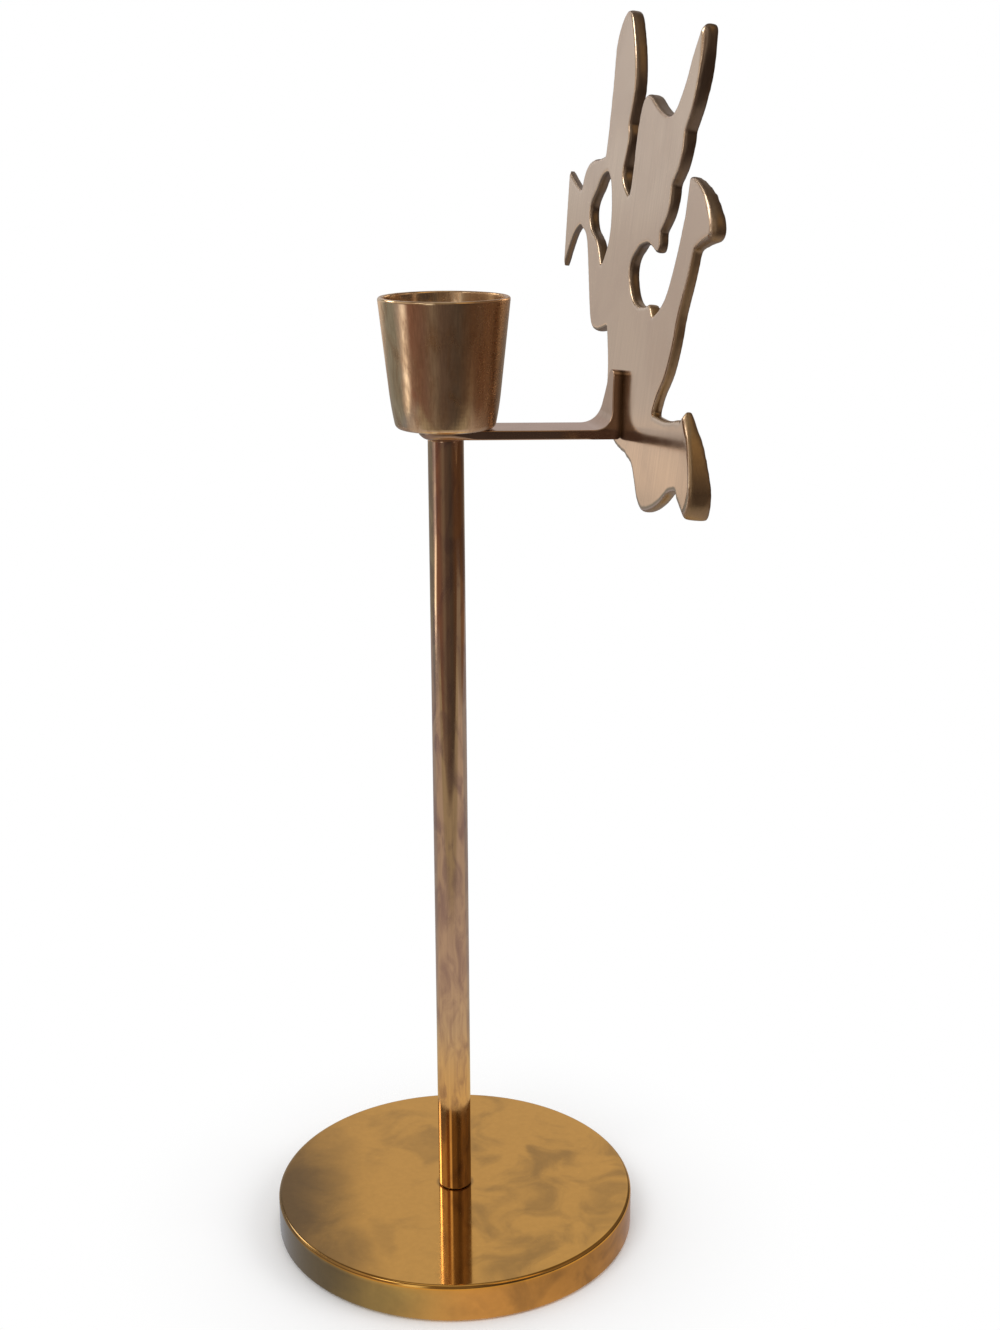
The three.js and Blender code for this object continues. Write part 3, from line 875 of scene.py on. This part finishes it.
@dataclass
class SwivelArm:
    """Strip arm: round at the stem, then turned up into a tapered tongue that carries the figure."""

    width: float = 12 * MM
    thickness: float = 2.1 * MM
    sag: float = math.radians(1.9)
    sag_start: float = 5.5 * MM
    sag_ease: float = 0.5 * MM
    reach: float = 38.2 * MM
    tongue_height: float = 14.7 * MM
    tip_radius: float = 2.3 * MM
    taper_onset: float = 0.15
    flank_hollow: float = 1.25
    lean: float = math.radians(7.0)
    bend_fillet: float = 4.4 * MM
    bend_lead: float = 1 * MM
    heel_radius: float = 0.9 * MM
    heel_share: float = 0.35
    solder_film: float = 0.02 * MM
    seat_gap: float = 0.1 * MM
    edge: float = 0.28 * MM
    edge_steps: int = 4
    round_under: float = 1.6 * MM
    round_top: float = 0.4 * MM
    joint_edge: float = 0.05 * MM
    eye: float = 2.6 * MM
    eye_facets: int = 64
    # Where the strip is cut across: round its end, along its flat, in the bend, up the taper and at the tip
    end_degrees: Sequence[int] = range(3, 90, 5)
    first_place: float = 2 * MM
    flat_places: Sequence[float] = (11 * MM, 18 * MM)
    bend_steps: int = 20
    taper_steps: int = 4
    tip_steps: int = 12
    tip_degrees: float = 86.0
    # Points of a cut's outline, and the most that its rounded edges take of its width and depth
    side_shares: Sequence[float] = (0.05, 0.2, 0.35, 0.5, 0.65, 0.8, 0.95)
    face_share: float = 0.9
    edge_of_width: float = 0.45
    under_of_depth: float = 0.8
    upper_of_depth: float = 0.15

    def __post_init__(self) -> None:
        """Works out the side view's main points, as places along X and Z."""
        self.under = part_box("candle_cup")[0].z - self.seat_gap - self.thickness
        self.up = Vector((math.sin(self.lean), math.cos(self.lean)))
        self.out = Vector((self.up.y, -self.up.x))
        outer_face = self.under_place(self.reach) - self.solder_film * self.out
        inner_face = outer_face - self.thickness * self.out
        self.heel = self.crossing(outer_face, 0.0)
        self.throat = self.crossing(inner_face, self.thickness)
        self.straight = self.tongue_height - (self.throat - self.heel).dot(self.up) - self.tip_radius

    def under_place(self, x: float) -> Vector:
        """A place on the strip's underside."""
        return Vector((x, self.under - max(0.0, x - self.sag_start) * math.tan(self.sag)))

    def crossing(self, face: Vector, lift: float) -> Vector:
        """Where a face of the tongue meets the strip, at a lift above the strip's underside."""
        run = (self.under_place(face.x).y + lift - face.y) / (self.up.y + self.up.x * math.tan(self.sag))
        return face + run * self.up

    def half_width(self, place: Vector) -> float:
        """Half the strip's width at a place.

        Args:
            place: the place, along X and Z.

        Returns:
            Half the width: full up to the throat, tapered above it, and round at the tip.
        """
        rise = (place - self.throat).dot(self.up)
        if rise > self.straight:
            return math.sqrt(max(0.0, self.tip_radius**2 - (rise - self.straight) ** 2))
        share = max(0.0, rise / self.straight)
        taper = share**2 * (1 + self.taper_onset) / (share + self.taper_onset)
        return self.tip_radius + (self.width / 2 - self.tip_radius) * (1 - taper) ** self.flank_hollow

    def round_end(self) -> list[Cut]:
        """Cuts the strip's round end, whose lower edge is eased far more than its upper one.

        Returns:
            The cuts, from the end inward.
        """
        half = self.width / 2

        def inset(edge: float, angle: float) -> float:
            """How far a rounded edge draws the end in."""
            short = max(0.0, edge - half * (1 - math.cos(angle)))
            return edge - math.sqrt(edge**2 - short**2)

        cuts = []
        for angle in map(math.radians, self.end_degrees):
            x = -half * math.cos(angle)
            under = Vector((x, self.under + inset(self.round_under, angle)))
            upper = Vector((x, self.under + self.thickness - inset(self.round_top, angle)))
            cuts.append(Cut(under, upper, half * math.sin(angle), self.round_under, self.round_top))
        return cuts

    def flat(self) -> list[Cut]:
        """Cuts the strip between its round end and the bend.

        Returns:
            The cuts, from the stem outward.
        """
        before, after = self.sag_start - self.sag_ease, self.sag_start + self.sag_ease
        bend = self.throat.x - self.bend_fillet - self.bend_lead
        cuts = []
        for x in (self.first_place, before, after, *self.flat_places, bend):
            place = self.under_place(x)
            under_edge = self.edge + (self.round_under - self.edge) * max(0.0, 1 - x / self.sag_start)
            upper = place + Vector((0.0, self.thickness))
            cuts.append(Cut(place, upper, self.width / 2, under_edge, self.edge))
        return cuts

    def tongue(self) -> list[Cut]:
        """Cuts the bend and the tongue.

        Returns:
            The cuts, from the bend to the tip.
        """
        start_out = self.under_place(self.throat.x - self.bend_fillet)
        start_in = start_out + Vector((0.0, self.thickness))
        end_in = self.throat + self.bend_fillet * self.up
        end_out = end_in + self.thickness * self.out
        before = self.heel + (start_out - self.heel).normalized() * self.heel_radius
        after = self.heel + self.up * self.heel_radius
        first, last = self.heel_share, 1 - self.heel_share
        places = []
        for i in range(self.bend_steps + 1):
            share = i / self.bend_steps
            if share < first:
                outer = start_out.lerp(before, share / first)
            elif share < last:
                outer = bent(before, self.heel, after, (share - first) / (last - first))
            else:
                outer = after.lerp(end_out, (share - last) / first)
            places.append((outer, bent(start_in, self.throat, end_in, share)))
        taper = (self.straight - self.bend_fillet) / self.taper_steps
        rises = [self.bend_fillet + taper * i for i in range(1, self.taper_steps + 1)]
        turns = [math.radians(self.tip_degrees * i / self.tip_steps) for i in range(1, self.tip_steps + 1)]
        rises += [self.straight + self.tip_radius * math.sin(turn) for turn in turns]
        for rise in rises:
            inner = self.throat + rise * self.up
            places.append((inner + self.thickness * self.out, inner))
        return [Cut(outer, inner, self.width / 2, self.joint_edge, self.edge) for outer, inner in places]

    def ring(self, cut: Cut) -> list[Vector]:
        """One cut's outline, a rectangle with rounded corners.

        Args:
            cut: the cut.

        Returns:
            The outline's points.
        """
        depth = (cut.upper - cut.under).length
        across = (cut.upper - cut.under) / depth

        def half(lift: float) -> float:
            """Half the width at a place between the under and the upper face."""
            return min(cut.half, self.half_width(cut.under + across * lift))

        low = min(cut.edge_under, self.edge_of_width * half(0.0), self.under_of_depth * depth)
        high = min(cut.edge_upper, self.edge_of_width * half(depth), self.upper_of_depth * depth)
        lifts = [low + (depth - high - low) * share for share in self.side_shares]
        under_end = self.face_share * (half(0.0) - low)
        points = lower_round(half(low), 0.0, low, self.edge_steps)
        points += [(half(lift), lift) for lift in lifts]
        points += upper_round(half(depth - high), depth, high, self.edge_steps)
        points.append((self.face_share * (half(depth) - high), depth))
        points += [(-y, lift) for y, lift in reversed(points)] + [(-under_end, 0.0), (under_end, 0.0)]
        places = [cut.under + across * lift for _, lift in points]
        return [Vector((place.x, y, place.y)) for place, (y, _) in zip(places, points)]

    def build(self) -> list[Piece]:
        """Lofts the strip through its cuts and drills the eye for the spigot.

        Returns:
            The strip alone.
        """
        cuts = self.round_end() + self.flat() + self.tongue()
        strip = lofted([self.ring(cut) for cut in cuts], Ends.CAPPED)
        low, high = self.under - self.width, self.under + self.width
        profile = [(0, low), (self.eye, low), (self.eye, high), (0, high)]
        drill = linked("drill", turned(profile, self.eye_facets))

        def drilled(holder: Piece) -> None:
            """Puts the drill's cut on the strip.

            Args:
                holder: the object that holds the strip.
            """
            cut = holder.modifiers.new("eye", "BOOLEAN")
            cut.object = drill
            cut.solver = "EXACT"

        data = with_modifiers(strip, drilled)
        bpy.data.objects.remove(drill)
        return [dressed("strip_arm", data, "swivel_arm", Body.ARM, ARM_BRASS.material())]


@dataclass(frozen=True)
class Tip:
    """A tip of the figure that is rounded more: its place along and up the plate, and its reach."""

    along: float
    up: float
    reach: float


@dataclass
class AngelFigure:
    """Flat cast angel: a flat brushed back, and limbs with soft edges behind it."""

    lean: float = math.radians(7.0)
    voxel: float = 0.38 * MM
    passes: int = 40
    strokes: Pair = (0.5, -0.525)
    ease_passes: int = 10
    back_depth: float = 0.16 * MM
    back_freedom: float = 0.85
    back_rings: int = 4
    swell: float = 0.16 * MM
    tips: Sequence[Tip] = (
        Tip(25.0 * MM, 87.0 * MM, 8.0 * MM), Tip(45.5 * MM, 48.0 * MM, 8.0 * MM),
        Tip(46.0 * MM, 11.5 * MM, 6.0 * MM), Tip(53.5 * MM, -8.0 * MM, 6.0 * MM))
    tip_passes: int = 45
    tip_fade: float = 1.5
    crease: float = 60.0

    def plate(self) -> Matrix:
        """The plate's own axes.

        Returns:
            The directions towards the feet, up the plate and out of its back, as columns.
        """
        feet = Vector((0.0, -1.0, 0.0))
        up = Vector((math.sin(self.lean), 0.0, math.cos(self.lean)))
        return Matrix((feet, up, feet.cross(up))).transposed().to_4x4()

    def cast(self) -> bpy.types.Mesh:
        """Remeshes the CAD figure evenly.

        Returns:
            The even mesh, in the plate's own axes.
        """
        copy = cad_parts["angel_figure"].data.copy()
        copy.transform(self.plate().inverted())

        def remeshed(holder: Piece) -> None:
            """Puts the even remesh on the figure.

            Args:
                holder: the object that holds the figure.
            """
            remesh = holder.modifiers.new("even", "REMESH")
            remesh.mode = "VOXEL"
            remesh.voxel_size = self.voxel

        return with_modifiers(copy, remeshed)

    def freedom(self, places: np.ndarray, edges: np.ndarray) -> np.ndarray:
        """How freely each point may leave the back's plane, onto which the nearest points are first laid.

        Args:
            places: the points, in the plate's axes.
            edges: the pairs of points that are neighbours.

        Returns:
            One off the back, and less with each ring of points into it.
        """
        back = places[:, 2].max()
        places[back - places[:, 2] < self.back_depth, 2] = back
        free = np.where(places[:, 2] < back, 1.0, 0.0)
        for _ in range(self.back_rings):
            beside = np.zeros(len(places))
            np.maximum.at(beside, edges[:, 0], free[edges[:, 1]])
            np.maximum.at(beside, edges[:, 1], free[edges[:, 0]])
            free = np.maximum(free, self.back_freedom * beside)
        return free

    def soften(self, data: bpy.types.Mesh) -> None:
        """Rounds the edges of the limbs, and leaves the back flat.

        Args:
            data: the even mesh, in the plate's axes.
        """
        count = len(data.vertices)
        places = np.empty(count * 3)
        data.vertices.foreach_get("co", places)
        places = places.reshape(-1, 3)
        edges = np.empty(len(data.edges) * 2, int)
        data.edges.foreach_get("vertices", edges)
        edges = edges.reshape(-1, 2)
        ways = np.column_stack((np.ones(count), np.ones(count), self.freedom(places, edges)))
        ends, others = edges.ravel(), edges[:, ::-1].ravel()
        meeting = np.bincount(ends, minlength=count)

        def ease(stroke: float, ways: np.ndarray) -> None:
            """Moves each point towards the middle of its neighbours, or away from it.

            Args:
                stroke: the share of the way that it goes, below zero to go away.
                ways: how freely each point moves along each axis.
            """
            for axis in range(3):
                middle = np.bincount(ends, places[others, axis], count) / meeting
                places[:, axis] += stroke * ways[:, axis] * (middle - places[:, axis])

        # The second stroke of each pass gives back the thickness that the first one took
        for stroke in self.strokes * self.passes + self.strokes[:1] * self.ease_passes:
            ease(stroke, ways)
        arm = SwivelArm()
        start = arm.under_place(arm.reach).dot(arm.up)
        for tip in self.tips:
            away = np.hypot(places[:, 0] - tip.along, places[:, 1] - start - tip.up)
            near = np.clip(self.tip_fade * (1 - away / tip.reach), 0.0, 1.0)
            for _ in range(self.tip_passes):
                ease(self.strokes[0], ways * near[:, None])
        data.vertices.foreach_set("co", places.ravel())
        outward = np.empty(count * 3)
        data.vertex_normals.foreach_get("vector", outward)
        places[:, :2] += self.swell * outward.reshape(-1, 3)[:, :2]
        data.vertices.foreach_set("co", places.ravel())

    def build(self) -> list[Piece]:
        """Casts the figure, softens it and sets it in its place, inside the CAD figure's box.

        Returns:
            The figure alone.
        """
        data = self.cast()
        self.soften(data)
        data.transform(self.plate())
        low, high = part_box("angel_figure")
        for vert in data.vertices:
            vert.co = [min(max(v, a), b) for v, a, b in zip(vert.co, low, high)]
        return [dressed("angel", data, "angel_figure", Body.ARM, FIGURE_BRASS.material(),
                        self.crease)]


@dataclass(frozen=True)
class Softbox:
    """A square studio lamp that looks at the candlestick."""

    name: str
    place: Triple
    size: float
    power: float
    target: Triple = (0.0, 0.0, 0.12)

    def build(self) -> None:
        """Hangs the lamp."""
        lamp = bpy.data.lights.new(self.name, "AREA")
        lamp.size = self.size
        lamp.energy = self.power
        holder = linked(self.name, lamp)
        holder.location = self.place
        aim = Vector(self.target) - Vector(self.place)
        holder.rotation_euler = aim.to_track_quat("-Z", "Y").to_euler()
        holder.visible_glossy = False


def staged(name: str, data: bpy.types.Mesh, material: bpy.types.Material) -> Piece:
    """Puts a stage piece into the scene.

    Args:
        name: its name.
        data: its mesh.
        material: its material.

    Returns:
        The stage piece.
    """
    data.materials.append(material)
    piece = linked(name, data)
    return piece


def level_sheet(half: float, height: float) -> bpy.types.Mesh:
    """A level square sheet.

    Args:
        half: half its width.
        height: its height.

    Returns:
        The mesh.
    """
    data = bpy.data.meshes.new("sheet")
    corners = [(-half, -half, height), (half, -half, height), (half, half, height), (-half, half, height)]
    data.from_pydata(corners, [], [(0, 1, 2, 3)])
    return data


@dataclass(frozen=True)
class Glow:
    """A bright round patch on the wall of the mirrored room, painted light for highlights in the brass, in
    degrees to the camera's right and up.
    """

    azimuth: float
    height: float
    edge: Pair
    colour: Colour

    def aim(self) -> Triple:
        """The direction that the patch lies in."""
        azimuth, height = math.radians(self.azimuth), math.radians(self.height)
        return math.cos(azimuth) * math.cos(height), math.sin(azimuth) * math.cos(height), math.sin(height)


@dataclass
class Mirrored:
    """A glowing stage piece that only the brass sees, painting light and shade into its reflections. Its
    scales run by degrees to the right of the camera.
    """

    heading: float
    name: str = "mirrored"
    radius: float = 3.0
    level: Stops = (
        (-180, (0.53, 0.485, 0.45)), (-130, (0.53, 0.485, 0.45)), (-118, (0.5, 0.45, 0.42)),
        (-98, (0.22, 0.16, 0.12)), (-66, (0.2, 0.145, 0.11)), (-34, (0.2, 0.15, 0.11)),
        (-28, (1.0, 0.9, 0.75)), (-21, (1.0, 0.9, 0.75)), (-14, (0.15, 0.1, 0.08)),
        (0, (0.07, 0.05, 0.04)), (30, (0.05, 0.036, 0.03)), (100, (0.06, 0.042, 0.034)),
        (140, (0.12, 0.09, 0.07)), (166, (0.52, 0.48, 0.475)))

    def angle(self, shader: Shader, place: Socket) -> Socket:
        """How far round a place is, from 0 to 1, with the camera's side at a half."""
        return shader.node("ShaderNodeTexGradient", {0: place}, gradient_type="RADIAL").outputs[1]

    def scale(self, shader: Shader, angle: Socket, stops: Stops) -> Socket:
        """Reads a colour off a scale that runs round the candlestick."""
        return shader.ramp(angle, [(0.5 + degrees / 360.0, colour) for degrees, colour in stops])

    def paint(self, shader: Shader) -> Socket:
        """The piece's colour."""
        raise NotImplementedError

    def mesh(self) -> bpy.types.Mesh:
        """The piece's mesh."""
        raise NotImplementedError

    def build(self) -> None:
        """Puts the piece into the scene: it isn't seen, and neither lights nor shades."""
        shader, material = Shader.of_material(self.name)
        material.cycles.emission_sampling = "NONE"
        shader.surface(shader.light("ShaderNodeEmission", self.paint(shader)))
        piece = staged(self.name, self.mesh(), material)
        piece.rotation_euler = (0.0, 0.0, -math.pi / 2 - self.heading)
        piece.visible_camera = False
        piece.visible_diffuse = False
        piece.visible_shadow = False
        piece.visible_transmission = False
        piece.visible_volume_scatter = False


@dataclass
class MirroredGround(Mirrored):
    """The ground that the brass mirrors, painted with light and shade: a pale table, a dim floor beyond it
    and a lit strip on that.
    """

    name: str = "mirrored_ground"
    height: float = 0.1 * MM
    # The table, by metres from the stem, painted darker and browner near the foot as shade and bounced
    # light, and where it ends towards the camera and to each side
    table: Stops = (
        (0.06, (0.74, 0.52, 0.23)), (0.082, (0.7, 0.53, 0.3)), (0.105, (0.61, 0.51, 0.39)),
        (0.14, (0.52, 0.43, 0.385)), (0.22, (0.46, 0.385, 0.35)))
    table_front: Pair = (0.285, 0.315)
    table_side: Pair = (0.4, 0.46)
    # The painted shade on the table's front, and on the part of it behind the foot
    fore_from: Pair = (0.16, 0.23)
    fore: Colour = (0.74, 0.74, 0.6)
    shade_from: Pair = (-0.02, -0.1)
    shade: Colour = (0.78, 0.86, 0.98)
    # The ground against the foot, from left to right: painted shade on the left, painted light in the
    # middle, darker on the right
    beside_to: Pair = (0.052, 0.062)
    beside: Sequence[Colour] = ((0.46, 0.48, 0.52), (0.7, 0.53, 0.46), (0.42, 0.32, 0.29))
    beside_from: Sequence[Pair] = ((-0.02, 0.01), (0.0, 0.045))
    # The floor at the table's sides, and past its front and back
    off_side: Stops = (
        (-180, (0.3, 0.27, 0.24)), (-145, (0.24, 0.25, 0.29)), (-101, (0.23, 0.24, 0.28)),
        (-92, (0.3, 0.26, 0.26)), (-45, (0.3, 0.25, 0.24)), (0, (0.42, 0.36, 0.33)),
        (50, (0.24, 0.185, 0.15)), (88, (0.25, 0.2, 0.165)), (98, (0.2, 0.115, 0.07)),
        (140, (0.2, 0.12, 0.08)), (152, (0.3, 0.27, 0.24)))
    past: Stops = (
        (-180, (0.3, 0.27, 0.24)), (-135, (0.26, 0.26, 0.24)), (-100, (0.25, 0.25, 0.23)),
        (-86, (0.4, 0.34, 0.33)), (-70, (0.24, 0.12, 0.09)), (-55, (0.19, 0.1, 0.075)),
        (-38, (0.17, 0.1, 0.08)), (-20, (0.19, 0.145, 0.115)), (-5, (0.11, 0.075, 0.062)),
        (28, (0.08, 0.06, 0.05)), (55, (0.11, 0.058, 0.034)), (95, (0.1, 0.05, 0.026)),
        (130, (0.11, 0.075, 0.06)), (155, (0.3, 0.27, 0.24)))
    past_from: Pair = (0.58, 0.64)
    past_lean: float = 0.13
    # The lit strip, by metres from the stem and then by degrees, and how it swings aside further out
    glare: Stops = (
        (0.59, (2.2, 2.0, 1.75)), (0.64, (1.6, 1.4, 1.22)), (0.72, (1.5, 1.3, 1.15)),
        (0.82, (1.2, 1.05, 0.95)), (1.0, (0.5, 0.43, 0.42)))
    strip: Stops = ((-97, BLACK), (-91, WHITE), (-85, WHITE), (-77, BLACK))
    strip_from: Pair = (0.53, 0.58)
    strip_swing: Pair = (0.0, 0.032)
    swing_from: Pair = (0.56, 0.82)
    # A pale haze far behind, and where the ground runs into the wall of the room
    haze: Colour = (0.78, 0.635, 0.515)
    haze_round: Stops = ((-170, BLACK), (-162, WHITE), (-132, WHITE), (-124, BLACK))
    haze_from: Pair = (1.1, 1.7)
    level_from: Pair = (2.0, 2.7)

    def paint(self, shader: Shader) -> Socket:
        """Paints the ground from the foot outward.

        Args:
            shader: the writer of the nodes.

        Returns:
            The ground's colour.
        """
        place = shader.place()
        towards, right, _ = shader.axes(place)
        reach = shader.distance(towards, right)
        angle = self.angle(shader, place)
        colour = shader.ramp(reach, self.table)
        colour = shader.mix(shader.span(towards, self.fore_from), colour, self.fore, "MULTIPLY")
        colour = shader.mix(shader.span(towards, self.shade_from), colour, self.shade, "MULTIPLY")
        left, middle, far_right = self.beside
        beside = shader.mix(shader.span(right, self.beside_from[1]), middle, far_right)
        beside = shader.mix(shader.span(right, self.beside_from[0]), left, beside)
        colour = shader.mix(shader.span(reach, self.beside_to), beside, colour)
        off_side = shader.span(shader.sum("ABSOLUTE", right), self.table_side)
        colour = shader.mix(off_side, colour, self.scale(shader, angle, self.off_side))
        off_front = shader.span(towards, self.table_front)
        leaning = shader.sum("SUBTRACT", reach, shader.sum("MULTIPLY", right, self.past_lean))
        past = shader.sum("MAXIMUM", off_front, shader.span(leaning, self.past_from))
        colour = shader.mix(past, colour, self.scale(shader, angle, self.past))
        swung = shader.sum("SUBTRACT", angle, shader.span(reach, self.swing_from, self.strip_swing))
        strip = self.scale(shader, swung, self.strip)
        strip = shader.sum("MULTIPLY", strip, shader.span(reach, self.strip_from))
        colour = shader.mix(strip, colour, shader.ramp(reach, self.glare))
        aside = self.scale(shader, angle, self.haze_round)
        haze = shader.sum("MULTIPLY", aside, shader.span(reach, self.haze_from))
        colour = shader.mix(haze, colour, self.haze)
        horizon = self.scale(shader, angle, self.level)
        return shader.mix(shader.span(reach, self.level_from), colour, horizon)

    def mesh(self) -> bpy.types.Mesh:
        """A sheet just above the floor."""
        return level_sheet(self.radius, self.height)


@dataclass
class MirroredRoom(Mirrored):
    """The room that the brass mirrors, painted with light and shade: dim in front and pale behind, with
    bright patches of painted light on its wall.
    """

    name: str = "mirrored_room"
    middle: Stops = (
        (-180, (0.52, 0.45, 0.42)), (-166, (0.62, 0.59, 0.57)), (-130, (0.62, 0.59, 0.57)),
        (-118, (0.44, 0.38, 0.33)), (-98, (0.3, 0.23, 0.17)), (-66, (0.27, 0.2, 0.14)),
        (-34, (0.25, 0.19, 0.14)), (-28, (0.95, 0.87, 0.76)), (-21, (0.95, 0.87, 0.76)),
        (-14, (0.2, 0.15, 0.12)), (15, (0.11, 0.085, 0.065)), (30, (0.07, 0.052, 0.042)),
        (100, (0.08, 0.058, 0.045)), (140, (0.13, 0.1, 0.08)), (166, (0.52, 0.44, 0.41)))
    middle_from: Pair = (0.09, 0.125)
    high: Stops = (
        (-180, (0.6, 0.54, 0.52)), (-150, (0.6, 0.54, 0.52)), (-143, (0.2, 0.17, 0.12)),
        (-137, (0.3, 0.25, 0.18)), (-125, (0.6, 0.5, 0.4)), (-114, (0.5, 0.4, 0.3)),
        (-107, (0.36, 0.24, 0.16)), (-85, (0.3, 0.17, 0.1)), (-37, (0.26, 0.15, 0.1)),
        (-30, (0.95, 0.87, 0.76)), (-23, (0.95, 0.87, 0.76)), (-15, (0.2, 0.15, 0.11)),
        (12, (0.19, 0.14, 0.1)), (26, (0.11, 0.08, 0.065)), (42, (0.12, 0.085, 0.065)),
        (60, (0.27, 0.2, 0.15)), (100, (0.19, 0.135, 0.1)), (150, (0.16, 0.125, 0.1)),
        (166, (0.7, 0.63, 0.57)), (176, (0.6, 0.54, 0.52)))
    high_from: Pair = (0.21, 0.3)
    ceiling: Colour = (0.15, 0.105, 0.065)
    ceiling_from: Pair = (0.68, 0.88)
    glows: Sequence[Glow] = (
        Glow(-85.0, 36.0, (14.0, 30.0), (0.55, 0.45, 0.36)),
        Glow(-50.0, 48.0, (5.0, 10.0), (2.0, 1.85, 1.6)),
        Glow(-122.0, 33.0, (7.0, 11.0), (5.2, 4.7, 4.0)),
        Glow(52.0, 57.0, (9.0, 15.0), (0.95, 0.6, 0.25)),
        Glow(-100.0, 13.0, (4.0, 7.5), (1.7, 1.6, 1.35)),
        Glow(0.0, 90.0, (13.0, 24.0), (0.5, 0.42, 0.32)))
    segments: int = 64
    rings: int = 32

    def paint(self, shader: Shader) -> Socket:
        """Paints the wall from the floor up, then the bright patches.

        Args:
            shader: the writer of the nodes.

        Returns:
            The room's colour.
        """
        place = shader.place()
        angle = self.angle(shader, place)
        rise = shader.sum("DIVIDE", shader.axes(place)[2], self.radius)
        colour = self.scale(shader, angle, self.level)
        for band, start in ((self.middle, self.middle_from), (self.high, self.high_from)):
            colour = shader.mix(shader.span(rise, start), colour, self.scale(shader, angle, band))
        colour = shader.mix(shader.span(rise, self.ceiling_from), colour, self.ceiling)
        # Each glow is painted light, which the brass shows as a highlight
        for patch in self.glows:
            inner, outer = (self.radius * math.cos(math.radians(degrees)) for degrees in patch.edge)
            share = shader.span(shader.along(place, patch.aim()), (outer, inner))
            colour = shader.mix(share, colour, patch.colour)
        return colour

    def mesh(self) -> bpy.types.Mesh:
        """A sphere round the candlestick.

        Returns:
            The mesh.
        """
        mesh = bmesh.new()
        counts = {"u_segments": self.segments, "v_segments": self.rings}
        bmesh.ops.create_uvsphere(mesh, radius=self.radius, **counts)
        data = bpy.data.meshes.new(self.name)
        mesh.to_mesh(data)
        mesh.free()
        return data


@dataclass
class Studio:
    """The camera, a pale floor, soft lamps, and the ground and room that the brass mirrors."""

    camera_place: Triple = (-0.07726, -0.39746, 0.2612)
    heading: float = math.radians(12.66)
    pitch: float = math.radians(16.27)
    roll: float = 0.0047
    lens: float = 50.0
    sensor: float = 36.0
    clip_start: float = 0.01
    fill: float = 0.6
    floor_colour: Colour = (0.96, 0.96, 0.96)
    floor_half: float = 40.0
    floor_fade: Pair = (0.043, 0.092)
    lamps: Sequence[Softbox] = (
        Softbox("key_lamp", (-1.0, -1.0, 1.6), 1.0, 11.0),
        Softbox("side_lamp", (1.4, -0.7, 1.3), 1.0, 7.0),
        Softbox("top_lamp", (0.1, 0.2, 1.9), 0.8, 6.0))

    def camera(self) -> None:
        """Sets up the camera where the photograph was taken from."""
        ahead = Vector((math.sin(self.heading) * math.cos(self.pitch),
                        math.cos(self.heading) * math.cos(self.pitch), -math.sin(self.pitch)))
        right = Vector((math.cos(self.heading), -math.sin(self.heading), 0.0))
        down = ahead.cross(right)
        c, s = math.cos(self.roll), math.sin(self.roll)
        right, down = c * right + s * down, c * down - s * right
        lens = bpy.data.cameras.new("camera")
        lens.lens = self.lens
        lens.sensor_width = self.sensor
        lens.clip_start = self.clip_start
        camera = linked("camera", lens)
        turn = Matrix((right, -down, -ahead)).transposed().to_4x4()
        camera.matrix_world = Matrix.Translation(self.camera_place) @ turn
        bpy.context.scene.camera = camera

    def world(self) -> None:
        """Lights the scene evenly, with a white background for the eye and for mirrors."""
        world = bpy.data.worlds.new("studio")
        bpy.context.scene.world = world
        world.use_nodes = True
        shader = Shader(world.node_tree)
        even = shader.light("ShaderNodeBackground", strength=self.fill)
        white = shader.light("ShaderNodeBackground")
        shader.surface(shader.either(shader.seen_plainly(), even, white), "ShaderNodeOutputWorld")

    def floor(self) -> None:
        """Lays the pale floor, which takes the shadow near the foot and is plain white far off."""
        shader, material = Shader.of_material("pale_floor")
        x, y, _ = shader.axes(shader.place())
        far = shader.span(shader.distance(x, y), self.floor_fade)
        share = shader.sum("MULTIPLY", far, shader.seen_plainly())
        matt = shader.node("ShaderNodeBsdfDiffuse", {"Color": (*self.floor_colour, 1.0)}).outputs[0]
        shader.surface(shader.either(share, matt, shader.light("ShaderNodeEmission")))
        staged("floor", level_sheet(self.floor_half, 0.0), material)

    def build(self) -> None:
        """Sets the whole stage."""
        bpy.context.scene.view_settings.view_transform = "Standard"
        self.camera()
        self.world()
        self.floor()
        for stage_piece in (MirroredGround(self.heading), MirroredRoom(self.heading), *self.lamps):
            stage_piece.build()


def main() -> None:
    """Sets the stage, then builds each sub-assembly and reports its pieces."""
    logging.basicConfig(level=logging.INFO, format="%(message)s")
    Studio().build()
    for assembly in (Foot(), Stem(), CandleCup(), SwivelArm(), AngelFigure()):
        for piece in assembly.build():
            LOG.info("%s: %s, %d faces", type(assembly).__name__, piece.name, len(piece.data.polygons))


if __name__ == "__main__":
    main()
